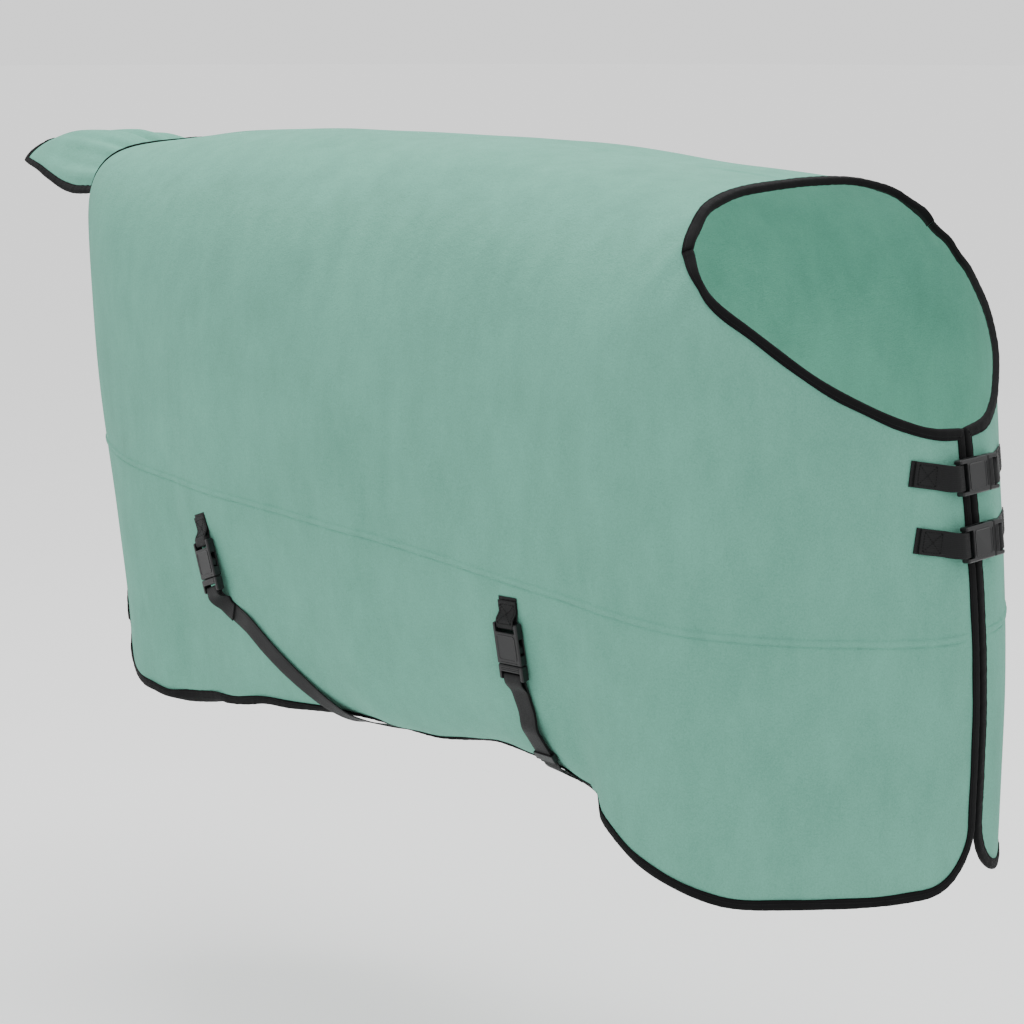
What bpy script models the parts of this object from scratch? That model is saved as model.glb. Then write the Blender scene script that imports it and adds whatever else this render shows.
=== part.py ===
"""Fleece horse rug as worn: bound panels, tail flap, two chest straps and two belly surcingles.

Frame: +X towards the horse's head, +Y to its left, +Z up. The origin is on the lining over the spine,
halfway along the back. Lengths are in metres.
"""

import math

import bmesh
import bpy
import numpy as np
from mathutils import Matrix, Vector
from mathutils.bvhtree import BVHTree

# Overall size of the rug. The profile below is drawn at the first three of these and scales with them.
LENGTH = 1.60  # chest to rear edge, without the tail flap
WIDTH = 0.65  # across the barrel
DROP = 0.889  # spine to the lowest point of the hem
DRAWN_LENGTH, DRAWN_WIDTH, DRAWN_DROP = 1.60, 0.65, 0.889

FLEECE = 0.004  # thickness of the cloth
SEAM_GAP = 0.0004  # between two panels that are sewn edge to edge
HINGE_GAP = 0.0010  # between a front half and the body of the rug
SEWN_GAP = 0.0004  # between a sewn piece and what carries it
SPINE_STRIP = 0.05  # half width of the flat strip over the spine

BINDING_WIDTH = 0.0125  # tape folded over every raw edge
BINDING_THICKNESS = 0.0014
BINDING_CLEARANCE = 0.0005
BINDING_END = 0.0018  # gap between two lengths of binding

WEBBING_WIDTH = 0.032
WEBBING_THICKNESS = 0.0016
LAYER_GAP = 0.0007  # between two layers of webbing

BUCKLE_WIDTH = WEBBING_WIDTH + 0.012
BUCKLE_HEIGHT = 0.012
BUCKLE_WALL = 0.0025
SOCKET_LENGTH = 0.044
SOCKET_DEPTH = 0.036
BAR_THICKNESS = 0.005
BAR_SLOT = 0.007
PLUG_LENGTH = 0.021
PLUG_GAP = 0.0005  # between the plug and the socket's mouth
PRONG_LENGTH = 0.031
PRONG_THICKNESS = 0.005
PRONG_ROOT = 0.011  # from the middle of the buckle to a prong's bending line
SLIDER_LENGTH = 0.012  # along the strap
KEEPER_WALL = 0.0018

TAIL_FLAP_LENGTH = 0.32
TAIL_FLAP_HALF_WIDTH = 0.150

# x, top, half width, height of widest, hem half width, hem height, tuck under the belly, squareness
PROFILE = (
    (-0.830, -0.043, 0.125, -0.161, 0.070, -0.756, 0.10, 3.2),
    (-0.780, -0.031, 0.180, -0.171, 0.125, -0.786, 0.10, 3.2),
    (-0.680, -0.019, 0.236, -0.221, 0.200, -0.833, 0.15, 3.0),
    (-0.500, -0.005, 0.290, -0.361, 0.268, -0.863, 0.15, 2.8),
    (-0.250, 0.005, 0.322, -0.441, 0.272, -0.821, 0.40, 2.8),
    (-0.060, 0.002, 0.325, -0.441, 0.230, -0.807, 0.90, 2.8),
    (0.060, 0.002, 0.325, -0.441, 0.210, -0.811, 1.00, 2.8),
    (0.200, -0.006, 0.325, -0.441, 0.215, -0.786, 0.90, 2.9),
    (0.330, -0.016, 0.322, -0.441, 0.225, -0.791, 0.90, 3.0),
    (0.400, -0.021, 0.320, -0.441, 0.250, -0.806, 0.60, 3.2),
    (0.460, -0.026, 0.316, -0.441, 0.290, -0.821, 0.25, 3.4),
    (0.520, -0.033, 0.310, -0.441, 0.305, -0.851, 0.10, 3.8),
    (0.580, -0.039, 0.292, -0.441, 0.292, -0.874, 0.05, 3.8),
    (0.630, -0.046, 0.258, -0.441, 0.258, -0.887, 0.00, 3.4),
    (0.680, -0.061, 0.205, -0.441, 0.205, -0.889, 0.00, 3.2),
    (0.720, -0.071, 0.145, -0.441, 0.145, -0.887, 0.00, 3.2),
    (0.750, -0.081, 0.090, -0.441, 0.090, -0.885, 0.00, 3.2),
    (0.765, -0.086, 0.045, -0.441, 0.045, -0.883, 0.00, 3.2),
    (0.770, -0.091, 0.000, -0.441, 0.000, -0.881, 0.00, 3.2),
)
NECK_TOP = ((0.0, 0.507), (0.09, 0.509), (0.174, 0.518), (0.247, 0.545))  # half width, x
NECK_SIDE = ((0.545, -0.092), (0.585, -0.140), (0.642, -0.190), (0.705, -0.253), (0.770, -0.311))  # x, z
SEAM = ((-0.83, -0.499), (0.0, -0.508), (0.40, -0.531), (0.77, -0.562))  # x, z
REAR_NOTCH, REAR_EDGE, NOTCH_HALF_WIDTH = -0.770, -0.805, 0.12
CUT_SLOPE = 0.247  # the front halves fold along a line that leans forward towards the withers
CHEST_LEAN, CHEST_LEAN_DEPTH, CHEST_LEAN_START = 0.042, 0.40, 0.45
EDGE_GAP = 0.0028  # half the gap between the two front edges, before their binding

SPINE_STATIONS = (-0.68, -0.59, -0.48, -0.35, -0.20, -0.06, 0.06, 0.18, 0.29, 0.38, 0.45)
ROWS_TO_CORNER, ROWS_TO_SEAM, ROWS_TO_HEM = 4, 4, 6
FRONT_COLUMNS, NECK_ROWS = 14, 4
HEM_STRIP = BINDING_WIDTH + 0.0005  # width of the mesh strip under a binding

SCALE_X = LENGTH / DRAWN_LENGTH
SCALE_Y = WIDTH / DRAWN_WIDTH
SCALE_Z = DROP / DRAWN_DROP
HALF_FLEECE = FLEECE / 2
WEBBING_SEAT = HALF_FLEECE + SEWN_GAP + WEBBING_THICKNESS / 2
BINDING_TOP = HALF_FLEECE + BINDING_CLEARANCE + BINDING_THICKNESS
LAYER_PITCH = WEBBING_THICKNESS + LAYER_GAP
BUCKLE_LIFT = BINDING_TOP + 0.0026  # underside of a buckle over the middle of the cloth
SIDES = {"right": -1, "left": 1}


def clear_scene():
    for obj in list(bpy.data.objects):
        bpy.data.objects.remove(obj)


def material(name, colour, roughness):
    made = bpy.data.materials.new(name)
    made.use_nodes = True
    shader = made.node_tree.nodes["Principled BSDF"]
    shader.inputs["Base Color"].default_value = (*colour, 1)
    shader.inputs["Roughness"].default_value = roughness
    shader.inputs["Metallic"].default_value = 0
    return made


def add_object(name, mesh, finish, matrix=None):
    obj = bpy.data.objects.new(name, mesh)
    if not mesh.materials:
        mesh.materials.append(finish)
    if matrix is not None:
        obj.matrix_world = matrix
    bpy.context.scene.collection.objects.link(obj)
    return obj


# ---------------------------------------------------------------- the worn surface


def smooth(points, x):
    """A curve through (x, value) points that never overshoots them."""
    xs, ys = (np.array(column, float) for column in zip(*points))
    x = min(max(x, xs[0]), xs[-1])
    steps = np.diff(xs)
    slopes = np.diff(ys) / steps
    tangents = np.concatenate([slopes[:1], np.zeros(len(xs) - 2), slopes[-1:]])
    for i in range(1, len(xs) - 1):
        if slopes[i - 1] * slopes[i] > 0:
            before, after = 2 * steps[i] + steps[i - 1], steps[i] + 2 * steps[i - 1]
            tangents[i] = (before + after) / (before / slopes[i - 1] + after / slopes[i])
    k = min(max(int(np.searchsorted(xs, x, side="right")) - 1, 0), len(steps) - 1)
    t = (x - xs[k]) / steps[k]
    ends = (2 * t**3 - 3 * t**2 + 1) * ys[k] + (3 * t**2 - 2 * t**3) * ys[k + 1]
    return float(ends + steps[k] * ((t**3 - 2 * t**2 + t) * tangents[k] + (t**3 - t**2) * tangents[k + 1]))


def profile_value(column, x):
    return smooth([(row[0], row[column]) for row in PROFILE], x)


SECTIONS = {}


def section(x):
    """Girth from the spine, half width and height along one side of the rug at x, from spine to hem."""
    key = round(x, 6)
    if key not in SECTIONS:
        top, half, widest, hem_half, hem, tuck, square = (profile_value(i, x) for i in range(1, 8))
        angle = np.linspace(0, math.pi / 2, 48)
        arch = np.stack([half * np.sin(angle) ** (2 / square),
                         widest + (top - widest) * np.cos(angle) ** (2 / square)], 1)
        ends = np.array([(half, widest), (half, widest - 0.4 * (widest - hem)),
                         (hem_half + tuck * (0.7 * (half - hem_half) + 0.02),
                          hem + (1 - tuck) * 0.4 * (widest - hem) + 0.02 * tuck), (hem_half, hem)])
        t = np.linspace(0, 1, 48)[1:, None]
        skirt = ((1 - t) ** 3 * ends[0] + 3 * t * (1 - t) ** 2 * ends[1]
                 + 3 * t**2 * (1 - t) * ends[2] + t**3 * ends[3])
        line = np.concatenate([arch, skirt])
        girth = np.concatenate([[0], np.cumsum(np.linalg.norm(np.diff(line, axis=0), axis=1))])
        SECTIONS[key] = girth, line[:, 0], line[:, 1]
    return SECTIONS[key]


def at_girth(x, girth):
    """Half width and height at a girth from the spine."""
    reach, halves, heights = section(x)
    return float(np.interp(girth, reach, halves)), float(np.interp(girth, reach, heights))


def girth_at_height(x, height):
    reach, _, heights = section(x)
    falling = heights[::-1]
    order = np.maximum.accumulate(falling)
    return float(np.interp(height, order, reach[::-1]))


def hem_girth(x):
    return float(section(x)[0][-1])


def seam_girth(x):
    return girth_at_height(x, smooth(SEAM, x))


def lean(x, z):
    """How far the chest bulges forward of the profile's x below the neckline."""
    front, neck = PROFILE[-1][0], NECK_SIDE[-1][1]
    share = min(max((x - CHEST_LEAN_START) / (front - CHEST_LEAN_START), 0), 1) ** 2
    depth = min(max((neck - z) / CHEST_LEAN_DEPTH, 0), 1)
    return share * CHEST_LEAN * math.sin(depth * math.pi / 2)


def cover(x, girth, side):
    """Point on the middle of the cloth; side is -1 on the right and 1 on the left."""
    half, z = at_girth(x, girth)
    y = side * (half * SCALE_Y + EDGE_GAP * min(max((x - 0.70) / 0.07, 0), 1))
    return Vector(((x + lean(x, z)) * SCALE_X, y, (z - SPINE_HEIGHT) * SCALE_Z + HALF_FLEECE))


SPINE_HEIGHT = at_girth(0, SPINE_STRIP)[1]  # of the flat strip, which is moved to the frame's origin


def settle(step, start, rounds=12):
    """Repeats a step until it stands still, for places that depend on each other."""
    value = start
    for _ in range(rounds):
        value = step(value)
    return value


def cut_x(z):
    corner_x, corner_z = NECK_SIDE[0]
    return corner_x + CUT_SLOPE * (z - corner_z)


def rear_x(girth):
    t = min(girth / NOTCH_HALF_WIDTH, 1)
    return REAR_NOTCH + (REAR_EDGE - REAR_NOTCH) * (3 * t * t - 2 * t**3)


CORNER_GIRTH = girth_at_height(*NECK_SIDE[0])
CORNER_SHARE = (CORNER_GIRTH - SPINE_STRIP) / (seam_girth(NECK_SIDE[0][0]) - SPINE_STRIP)


def body_x(end, column, girth_of):
    """x where a body column meets the row whose girth is girth_of(x); column is (share, offset)."""
    share, offset = column

    def step(x):
        girth = girth_of(x)
        half, z = at_girth(x, girth)
        rear = rear_x(girth)
        return rear + (end(half, z) - rear) * share + offset

    return settle(step, 0.0)


def neck_front(half, _z):
    return smooth(NECK_TOP, half)


def cut_front(_half, z):
    return cut_x(z) - HINGE_GAP / 2


def body_columns():
    first, last = REAR_NOTCH, NECK_TOP[0][1]
    middle = [((x - first) / (last - first), 0) for x in SPINE_STATIONS]
    return [(0, 0), (0, HEM_STRIP), *middle, (1, -HEM_STRIP), (1, 0)]


def upper_row(row):
    """Share of the girth between the spine strip and the seam for one row of the back panel."""
    if row <= ROWS_TO_CORNER:
        return CORNER_SHARE * row / ROWS_TO_CORNER
    return CORNER_SHARE + (1 - CORNER_SHARE) * (row - ROWS_TO_CORNER) / ROWS_TO_SEAM


def back_column(column, side):
    points = []
    for row in range(ROWS_TO_CORNER + ROWS_TO_SEAM + 1):
        part = upper_row(row)
        last = row == ROWS_TO_CORNER + ROWS_TO_SEAM

        def girth_of(x, part=part, last=last):
            return SPINE_STRIP + (seam_girth(x) - SPINE_STRIP) * part - last * SEAM_GAP / 2

        x = body_x(neck_front if row <= ROWS_TO_CORNER else cut_front, column, girth_of)
        points.append(cover(x, girth_of(x), side))
    return points


def skirt_girth(x, row):
    """Girth of a row between the seam and the hem; the last row but one is the edge of the hem's strip."""
    start, hem = seam_girth(x) + SEAM_GAP / 2, hem_girth(x)
    if row == ROWS_TO_HEM:
        return hem
    return start + (hem - HEM_STRIP - start) * row / (ROWS_TO_HEM - 1)


def skirt_column(column, side):
    points = []
    for row in range(ROWS_TO_HEM + 1):
        x = body_x(cut_front, column, lambda x, row=row: skirt_girth(x, row))
        points.append(cover(x, skirt_girth(x, row), side))
    return points


def plan_reach():
    """x stations and the distance along the hem's plan outline to each."""
    xs = np.linspace(0.30, PROFILE[-1][0], 300)
    halves = [profile_value(2, x) for x in xs]
    return xs, np.concatenate([[0], np.cumsum(np.hypot(np.diff(xs), np.diff(halves)))])


PLAN_X, PLAN_REACH = plan_reach()


def front_x(column, z):
    """x of a front half's column at a height; columns are even along the plan, with a strip at the edge."""
    start = float(np.interp(cut_x(z) + HINGE_GAP / 2, PLAN_X, PLAN_REACH))
    if column == FRONT_COLUMNS:
        return float(PLAN_X[-1])
    reach = start + (PLAN_REACH[-1] - HEM_STRIP - start) * column / (FRONT_COLUMNS - 1)
    return float(np.interp(reach, PLAN_REACH, PLAN_X))


def front_girth(x, row, upper):
    if not upper:
        return skirt_girth(x, row)
    neck, seam = girth_at_height(x, smooth(NECK_SIDE, x)), seam_girth(x) - SEAM_GAP / 2
    if row == 0:
        return neck
    return neck + HEM_STRIP + (seam - neck - HEM_STRIP) * (row - 1) / (NECK_ROWS - 1)


def front_column(column, side, upper):
    """One column of a front half, from the neckline to the seam or from the seam to the hem."""
    points = []
    for row in range((NECK_ROWS if upper else ROWS_TO_HEM) + 1):
        x = settle(lambda x, row=row: front_x(column, at_girth(x, front_girth(x, row, upper))[1]), 0.6)
        points.append(cover(x, front_girth(x, row, upper), side))
    return points


# ---------------------------------------------------------------- cloth and binding


def split_quads(mesh):
    """Cuts each quad along the diagonal that bulges outward, so cloth and tape fold the same way."""
    for face in [face for face in mesh.faces if len(face.verts) == 4]:
        a, b, c, d = face.verts
        centre = face.calc_center_median()
        core = Vector((min(max(centre.x, -0.6), 0.5), 0, -0.4))
        normal = face.normal if face.normal.dot(centre - core) > 0 else -face.normal
        first = (a.co + c.co - b.co - d.co).dot(normal) > 0
        bmesh.utils.face_split(face, *((a, c) if first else (b, d)))


def sheet(name, columns, finish, facing):
    """A panel of cloth through a grid of points; facing is a vector that its outer side looks along."""
    mesh = bpy.data.meshes.new(name)
    grid = bmesh.new()
    rows = [[grid.verts.new(point) for point in column] for column in columns]
    for first, second in zip(rows, rows[1:]):
        for i in range(len(first) - 1):
            grid.faces.new((first[i], first[i + 1], second[i + 1], second[i]))
    grid.normal_update()
    if sum((face.normal * face.calc_area() for face in grid.faces), Vector()).dot(Vector(facing)) < 0:
        bmesh.ops.reverse_faces(grid, faces=grid.faces[:])
    grid.normal_update()
    split_quads(grid)
    grid.normal_update()
    frames = [[(vert.co.copy(), vert.normal.copy()) for vert in row] for row in rows]
    grid.to_mesh(mesh)
    grid.free()
    mesh.shade_smooth()
    obj = add_object(name, mesh, finish)
    thickness = obj.modifiers.new("thickness", "SOLIDIFY")
    thickness.thickness = FLEECE
    thickness.offset = 0
    return obj, frames


def strip(edge, inner):
    """Moves the line inside an edge to one strip's width from it."""
    return [a + (b - a).normalized() * HEM_STRIP for a, b in zip(edge, inner)]


def edge_stations(frames, inner):
    """Edge point, cloth normal and inward direction for a line of grid points and the line inside it."""
    return [(point, normal, (within - point).normalized())
            for (point, normal), (within, _) in zip(frames, inner)]


def joined(first, second):
    """Two runs of edge stations that meet: at the meeting point the directions add up to a mitre."""
    point, normal, inward = first[-1]
    _, other_normal, other_inward = second[0]
    corner = (point, (normal + other_normal).normalized(), inward + other_inward)
    if inward.dot(other_inward) > 0.5:
        corner = (point, corner[1], corner[2].normalized())
    return first[:-1] + [corner] + second[1:]


def binding(name, stations, finish):
    """Tape folded over an edge: a U-shaped channel with a small clearance round the cloth."""
    inside = HALF_FLEECE + BINDING_CLEARANCE
    outside = inside + BINDING_THICKNESS
    lip, root = BINDING_WIDTH, -BINDING_CLEARANCE
    fold = root - BINDING_THICKNESS
    outline = ((lip, outside), (fold, outside), (fold, -outside), (lip, -outside),
               (lip, -inside), (root, -inside), (root, inside), (lip, inside))
    stations = list(stations)
    for end, inner in ((0, 1), (-1, -2)):
        point, normal, inward = stations[end]
        along = (stations[inner][0] - point).normalized()
        stations[end] = (point + along * BINDING_END / 2, normal, inward)
    tape = bmesh.new()
    rings = [[tape.verts.new(point + inward * d + normal * n) for d, n in outline]
             for point, normal, inward in stations]
    for first, second in zip(rings, rings[1:]):
        for i in range(len(outline)):
            j = (i + 1) % len(outline)
            tape.faces.new((first[i], first[j], second[j], second[i]))
    tape.faces.new(rings[0][::-1])
    tape.faces.new(rings[-1])
    tape.normal_update()
    split_quads(tape)
    bmesh.ops.recalc_face_normals(tape, faces=tape.faces[:])
    mesh = bpy.data.meshes.new(name)
    tape.to_mesh(mesh)
    tape.free()
    return add_object(name, mesh, finish)


def narrow_hem(columns):
    for column in columns:
        column[-2:-1] = strip(column[-1:], column[-2:-1])


def make_body(fleece, tape):
    """The back panel and the two lower panels, with the binding of the withers, the rear and the hem."""
    places = body_columns()
    right = [back_column(place, SIDES["right"]) for place in places]
    left = [back_column(place, SIDES["left"]) for place in places]
    columns = [a[::-1] + b for a, b in zip(right, left)]
    columns[1], columns[-2] = strip(columns[0], columns[1]), strip(columns[-1], columns[-2])
    back, back_frames = sheet("back_panel", columns, fleece, (0, 0, 1))
    skirts, skirt_frames = {}, {}
    for name, side in SIDES.items():
        columns = [skirt_column(place, side) for place in places]
        columns[1] = strip(columns[0], columns[1])
        narrow_hem(columns)
        skirts[name], skirt_frames[name] = sheet(f"lower_panel_{name}", columns, fleece, (0, side, 0))
        hem = edge_stations([column[-1] for column in skirt_frames[name]],
                            [column[-2] for column in skirt_frames[name]])
        binding(f"hem_binding_{name}", hem[1:], tape)
    middle = ROWS_TO_CORNER + ROWS_TO_SEAM + 1
    neck = slice(middle - ROWS_TO_CORNER - 1, middle + ROWS_TO_CORNER + 1)
    binding("neck_binding", edge_stations(back_frames[-1][neck], back_frames[-2][neck]), tape)
    across = edge_stations(back_frames[0], back_frames[1])
    down = {name: edge_stations(skirt_frames[name][0], skirt_frames[name][1]) for name in SIDES}
    hem_corner = {}
    for name in SIDES:
        frames = skirt_frames[name]
        corner = edge_stations([column[-1] for column in frames[:2]], [column[-2] for column in frames[:2]])
        hem_corner[name] = joined(down[name], corner)
    rear = joined(joined(hem_corner["right"][::-1], across), hem_corner["left"])
    binding("rear_binding", rear, tape)
    return {"back": back, **skirts}


def make_front(name, side, fleece, tape):
    """One front half: upper and lower cloth, and the binding of its neckline, front edge and hem."""
    above = [front_column(i, side, True) for i in range(FRONT_COLUMNS + 1)]
    below = [front_column(i, side, False) for i in range(FRONT_COLUMNS + 1)]
    for columns in (above, below):
        columns[-2] = strip(columns[-1], columns[-2])
    for column in above:
        column[1:2] = strip(column[:1], column[1:2])
    narrow_hem(below)
    upper, top = sheet(f"front_upper_{name}", above, fleece, (1, side, 0))
    lower, low = sheet(f"front_lower_{name}", below, fleece, (1, side, 0))
    neckline = edge_stations([column[0] for column in top], [column[1] for column in top])
    edge_up = edge_stations(top[-1], top[-2])
    edge_low = edge_stations(low[-1], low[-2])
    hem = edge_stations([column[-1] for column in low], [column[-2] for column in low])[::-1]
    binding(f"front_binding_{name}", joined(joined(joined(neckline, edge_up), edge_low), hem), tape)
    return {"upper": upper, "lower": lower}


def flap_point(along, across):
    """Point of the tail flap: along runs from the rug to the tip, across from -1 on the right to 1."""
    half = (TAIL_FLAP_HALF_WIDTH - 0.050 * along**2) * SCALE_Y
    y = across * half
    start = (rear_x(min(max(abs(y) / SCALE_Y, SPINE_STRIP), NOTCH_HALF_WIDTH)) - BINDING_TOP - 0.0006) * SCALE_X
    crown = smooth(((0, -0.040), (0.35, -0.021), (0.7, -0.024), (1, -0.043)), along)
    fall = smooth(((0, 0.062), (0.3, 0.085), (0.6, 0.068), (1, 0.030)), along)
    x = start - TAIL_FLAP_LENGTH * along * (1 - 0.16 * across**2)
    return Vector((x, y, crown * SCALE_Z - fall * abs(across) ** 2.2))


def make_tail_flap(fleece, tape):
    across = (-1, -0.9, -0.6, -0.3, 0, 0.3, 0.6, 0.9, 1)
    along = (0, 0.12, 0.3, 0.5, 0.7, 0.85, 0.95, 1)
    columns = [[flap_point(i, j) for j in across] for i in along]
    columns[-2] = strip(columns[-1], columns[-2])
    narrow_hem(columns)
    for column in columns:
        column[1:2] = strip(column[:1], column[1:2])
    _, frames = sheet("tail_flap", columns, fleece, (0, 0, 1))
    right = edge_stations([column[0] for column in frames], [column[1] for column in frames])
    left = edge_stations([column[-1] for column in frames], [column[-2] for column in frames])
    tip = edge_stations(frames[-1], frames[-2])
    binding("tail_flap_binding", joined(joined(right, tip), left[::-1]), tape)


# ---------------------------------------------------------------- webbing


def spline(controls, step):
    """Points and width directions along a smooth curve through (point, width direction) pairs."""
    points = [Vector(point) for point, _ in controls]
    sides = [Vector(side) for _, side in controls]
    spans = [(b - a).length for a, b in zip(points, points[1:])]
    speeds = [(b - a) / span for a, b, span in zip(points, points[1:], spans)]
    tangents = [speeds[0]]
    for i in range(1, len(spans)):
        tangents.append((speeds[i - 1] * spans[i] + speeds[i] * spans[i - 1]) / (spans[i - 1] + spans[i]))
    tangents.append(speeds[-1])
    found = []
    for i, span in enumerate(spans):
        count = max(1, math.ceil(span / step))
        for k in range(count):
            t = k / count
            place = ((2 * t**3 - 3 * t**2 + 1) * points[i] + (3 * t**2 - 2 * t**3) * points[i + 1]
                     + span * ((t**3 - 2 * t**2 + t) * tangents[i] + (t**3 - t**2) * tangents[i + 1]))
            found.append((place, sides[i].lerp(sides[i + 1], t)))
    return found + [(points[-1], sides[-1])]


def webbing(name, controls, finish, step=0.008):
    """A flat strap along a smooth curve."""
    path = spline(controls, step)
    strap = bmesh.new()
    rings = []
    for i, (place, side) in enumerate(path):
        ahead = (path[i + 1][0] - place).normalized() if i + 1 < len(path) else Vector()
        behind = (place - path[i - 1][0]).normalized() if i else Vector()
        along = (ahead + behind).normalized()
        side = (side - along * side.dot(along)).normalized()
        face = side.cross(along)
        if i and i + 1 < len(path):
            face = face / max(math.cos(ahead.angle(behind) / 2), 0.5)
        rings.append([strap.verts.new(place + side * u * WEBBING_WIDTH / 2 + face * v * WEBBING_THICKNESS / 2)
                      for u, v in ((-1, -1), (1, -1), (1, 1), (-1, 1))])
    for first, second in zip(rings, rings[1:]):
        for i in range(4):
            j = (i + 1) % 4
            strap.faces.new((first[i], first[j], second[j], second[i]))
    strap.faces.new(rings[0][::-1])
    strap.faces.new(rings[-1])
    bmesh.ops.recalc_face_normals(strap, faces=strap.faces[:])
    mesh = bpy.data.meshes.new(name)
    strap.to_mesh(mesh)
    strap.free()
    return add_object(name, mesh, finish)


def surface_of(objects):
    """All faces of finished pieces, to seat straps on."""
    graph = bpy.context.evaluated_depsgraph_get()
    vertices, polygons = [], []
    for obj in objects:
        mesh = obj.evaluated_get(graph).to_mesh()
        base = len(vertices)
        vertices += [vertex.co.copy() for vertex in mesh.vertices]
        polygons += [[base + i for i in polygon.vertices] for polygon in mesh.polygons]
        obj.evaluated_get(graph).to_mesh_clear()
    return BVHTree.FromPolygons(vertices, polygons)


def outward(x, girth, side):
    """Unit normal of the worn surface, away from the horse."""
    step = 0.003
    front = min(x + step, PROFILE[-1][0])
    along = cover(front, girth, side) - cover(x - step, girth, side)
    down = cover(x, girth + step, side) - cover(x, girth - step, side)
    normal = along.cross(down).normalized()
    return normal if normal.dot(cover(x, girth, side) - Vector((0, 0, -0.4 * SCALE_Z))) > 0 else -normal


def lay(cloth, place, along, gap, width=WEBBING_WIDTH):
    """Place of a strap's middle on finished cloth, its normal and its width direction.

    place is (x, girth, side); the strap is raised until its whole width clears the cloth by the gap.
    """
    point, normal = cover(*place), outward(*place)
    across = normal.cross(Vector(along)).normalized()
    lifts = []
    for share in (-0.5, -0.25, 0, 0.25, 0.5):
        hit = cloth.ray_cast(point + normal * 0.03 + across * share * width, -normal)[0]
        if hit:
            lifts.append((hit - point).dot(normal))
    return point + normal * (max(lifts) + gap + WEBBING_THICKNESS / 2), normal, across


def strap_controls(places):
    """Adds width directions to (point, normal) pairs in path order."""
    controls = []
    for i, (point, normal) in enumerate(places):
        along = places[min(i + 1, len(places) - 1)][0] - places[max(i - 1, 0)][0]
        controls.append((point, normal.cross(along).normalized()))
    return controls


# ---------------------------------------------------------------- buckles


def box_mesh(low, high):
    block = bmesh.new()
    bmesh.ops.create_cube(block, size=1)
    size = [b - a for a, b in zip(low, high)]
    centre = [(a + b) / 2 for a, b in zip(low, high)]
    bmesh.ops.scale(block, vec=size, verts=block.verts)
    bmesh.ops.translate(block, vec=centre, verts=block.verts)
    return block


def block_object(name, low, high, chamfer=0.0):
    block = box_mesh(low, high)
    if chamfer:
        bmesh.ops.bevel(block, geom=block.edges[:], offset=chamfer, segments=1, profile=0.5,
                        affect="EDGES", material=-1)
    mesh = bpy.data.meshes.new(name)
    block.to_mesh(mesh)
    block.free()
    obj = bpy.data.objects.new(name, mesh)
    bpy.context.scene.collection.objects.link(obj)
    return obj


def shaped(name, base, cuts=(), adds=()):
    """The mesh of a block with other blocks cut from it or joined to it; the helpers are removed."""
    body = block_object(name, *base)
    helpers = [("DIFFERENCE", block_object(f"{name}_cut_{i}", *cut)) for i, cut in enumerate(cuts)]
    helpers += [("UNION", block_object(f"{name}_add_{i}", *add)) for i, add in enumerate(adds)]
    for operation, helper in helpers:
        modifier = body.modifiers.new(helper.name, "BOOLEAN")
        modifier.operation = operation
        modifier.object = helper
    graph = bpy.context.evaluated_depsgraph_get()
    mesh = bpy.data.meshes.new_from_object(body.evaluated_get(graph))
    mesh.name = name
    for obj in [body] + [helper for _, helper in helpers]:
        bpy.data.objects.remove(obj)
    return mesh


HALF_BUCKLE = BUCKLE_WIDTH / 2
HALF_OPENING = (WEBBING_WIDTH + 0.002) / 2
MID_HEIGHT = BUCKLE_HEIGHT / 2
BAR_LOW, BAR_HIGH = MID_HEIGHT - BAR_THICKNESS / 2, MID_HEIGHT + BAR_THICKNESS / 2
SOCKET_BAR = -SOCKET_LENGTH - BAR_SLOT  # near side of the socket's bar, along the buckle
PLUG_SLOT = (PLUG_LENGTH - BAR_THICKNESS - BAR_SLOT + PLUG_GAP, PLUG_LENGTH - BAR_THICKNESS)
CHAMFER = 0.0015


def socket_mesh():
    """Socket half: a flat sleeve with side windows for the prongs and a bar for its webbing."""
    end = SOCKET_BAR - BAR_THICKNESS
    cavity = ((-SOCKET_DEPTH, -HALF_OPENING, BUCKLE_WALL), (0.01, HALF_OPENING, BUCKLE_HEIGHT - BUCKLE_WALL))
    windows = ((-SOCKET_DEPTH, -HALF_BUCKLE - 0.01, BUCKLE_WALL),
               (-0.014, HALF_BUCKLE + 0.01, BUCKLE_HEIGHT - BUCKLE_WALL))
    slot = ((SOCKET_BAR, -HALF_OPENING, -0.01), (-SOCKET_LENGTH, HALF_OPENING, 0.03))
    thin = [((end - 0.01, -HALF_OPENING, z0), (SOCKET_BAR + 0.0001, HALF_OPENING, z1))
            for z0, z1 in ((-0.01, BAR_LOW), (BAR_HIGH, 0.03))]
    return shaped("buckle_socket", ((end, -HALF_BUCKLE, 0), (0, HALF_BUCKLE, BUCKLE_HEIGHT), CHAMFER),
                  cuts=(cavity, windows, slot, *thin))


def plug_mesh():
    """Plug half: a base with a bar for its webbing and a middle guide that runs into the socket."""
    slot = ((PLUG_SLOT[0], -HALF_OPENING, -0.01), (PLUG_SLOT[1], HALF_OPENING, 0.03))
    thin = [((PLUG_SLOT[1] - 0.0001, -HALF_OPENING, z0), (PLUG_LENGTH + 0.01, HALF_OPENING, z1))
            for z0, z1 in ((-0.01, BAR_LOW), (BAR_HIGH, 0.03))]
    guide = ((-0.024, -0.003, MID_HEIGHT - 0.0015), (PLUG_GAP + 0.003, 0.003, MID_HEIGHT + 0.0015))
    return shaped("buckle_plug", ((PLUG_GAP, -HALF_BUCKLE, 0), (PLUG_LENGTH, HALF_BUCKLE, BUCKLE_HEIGHT), CHAMFER),
                  cuts=(slot, *thin), adds=(guide,))


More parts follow.
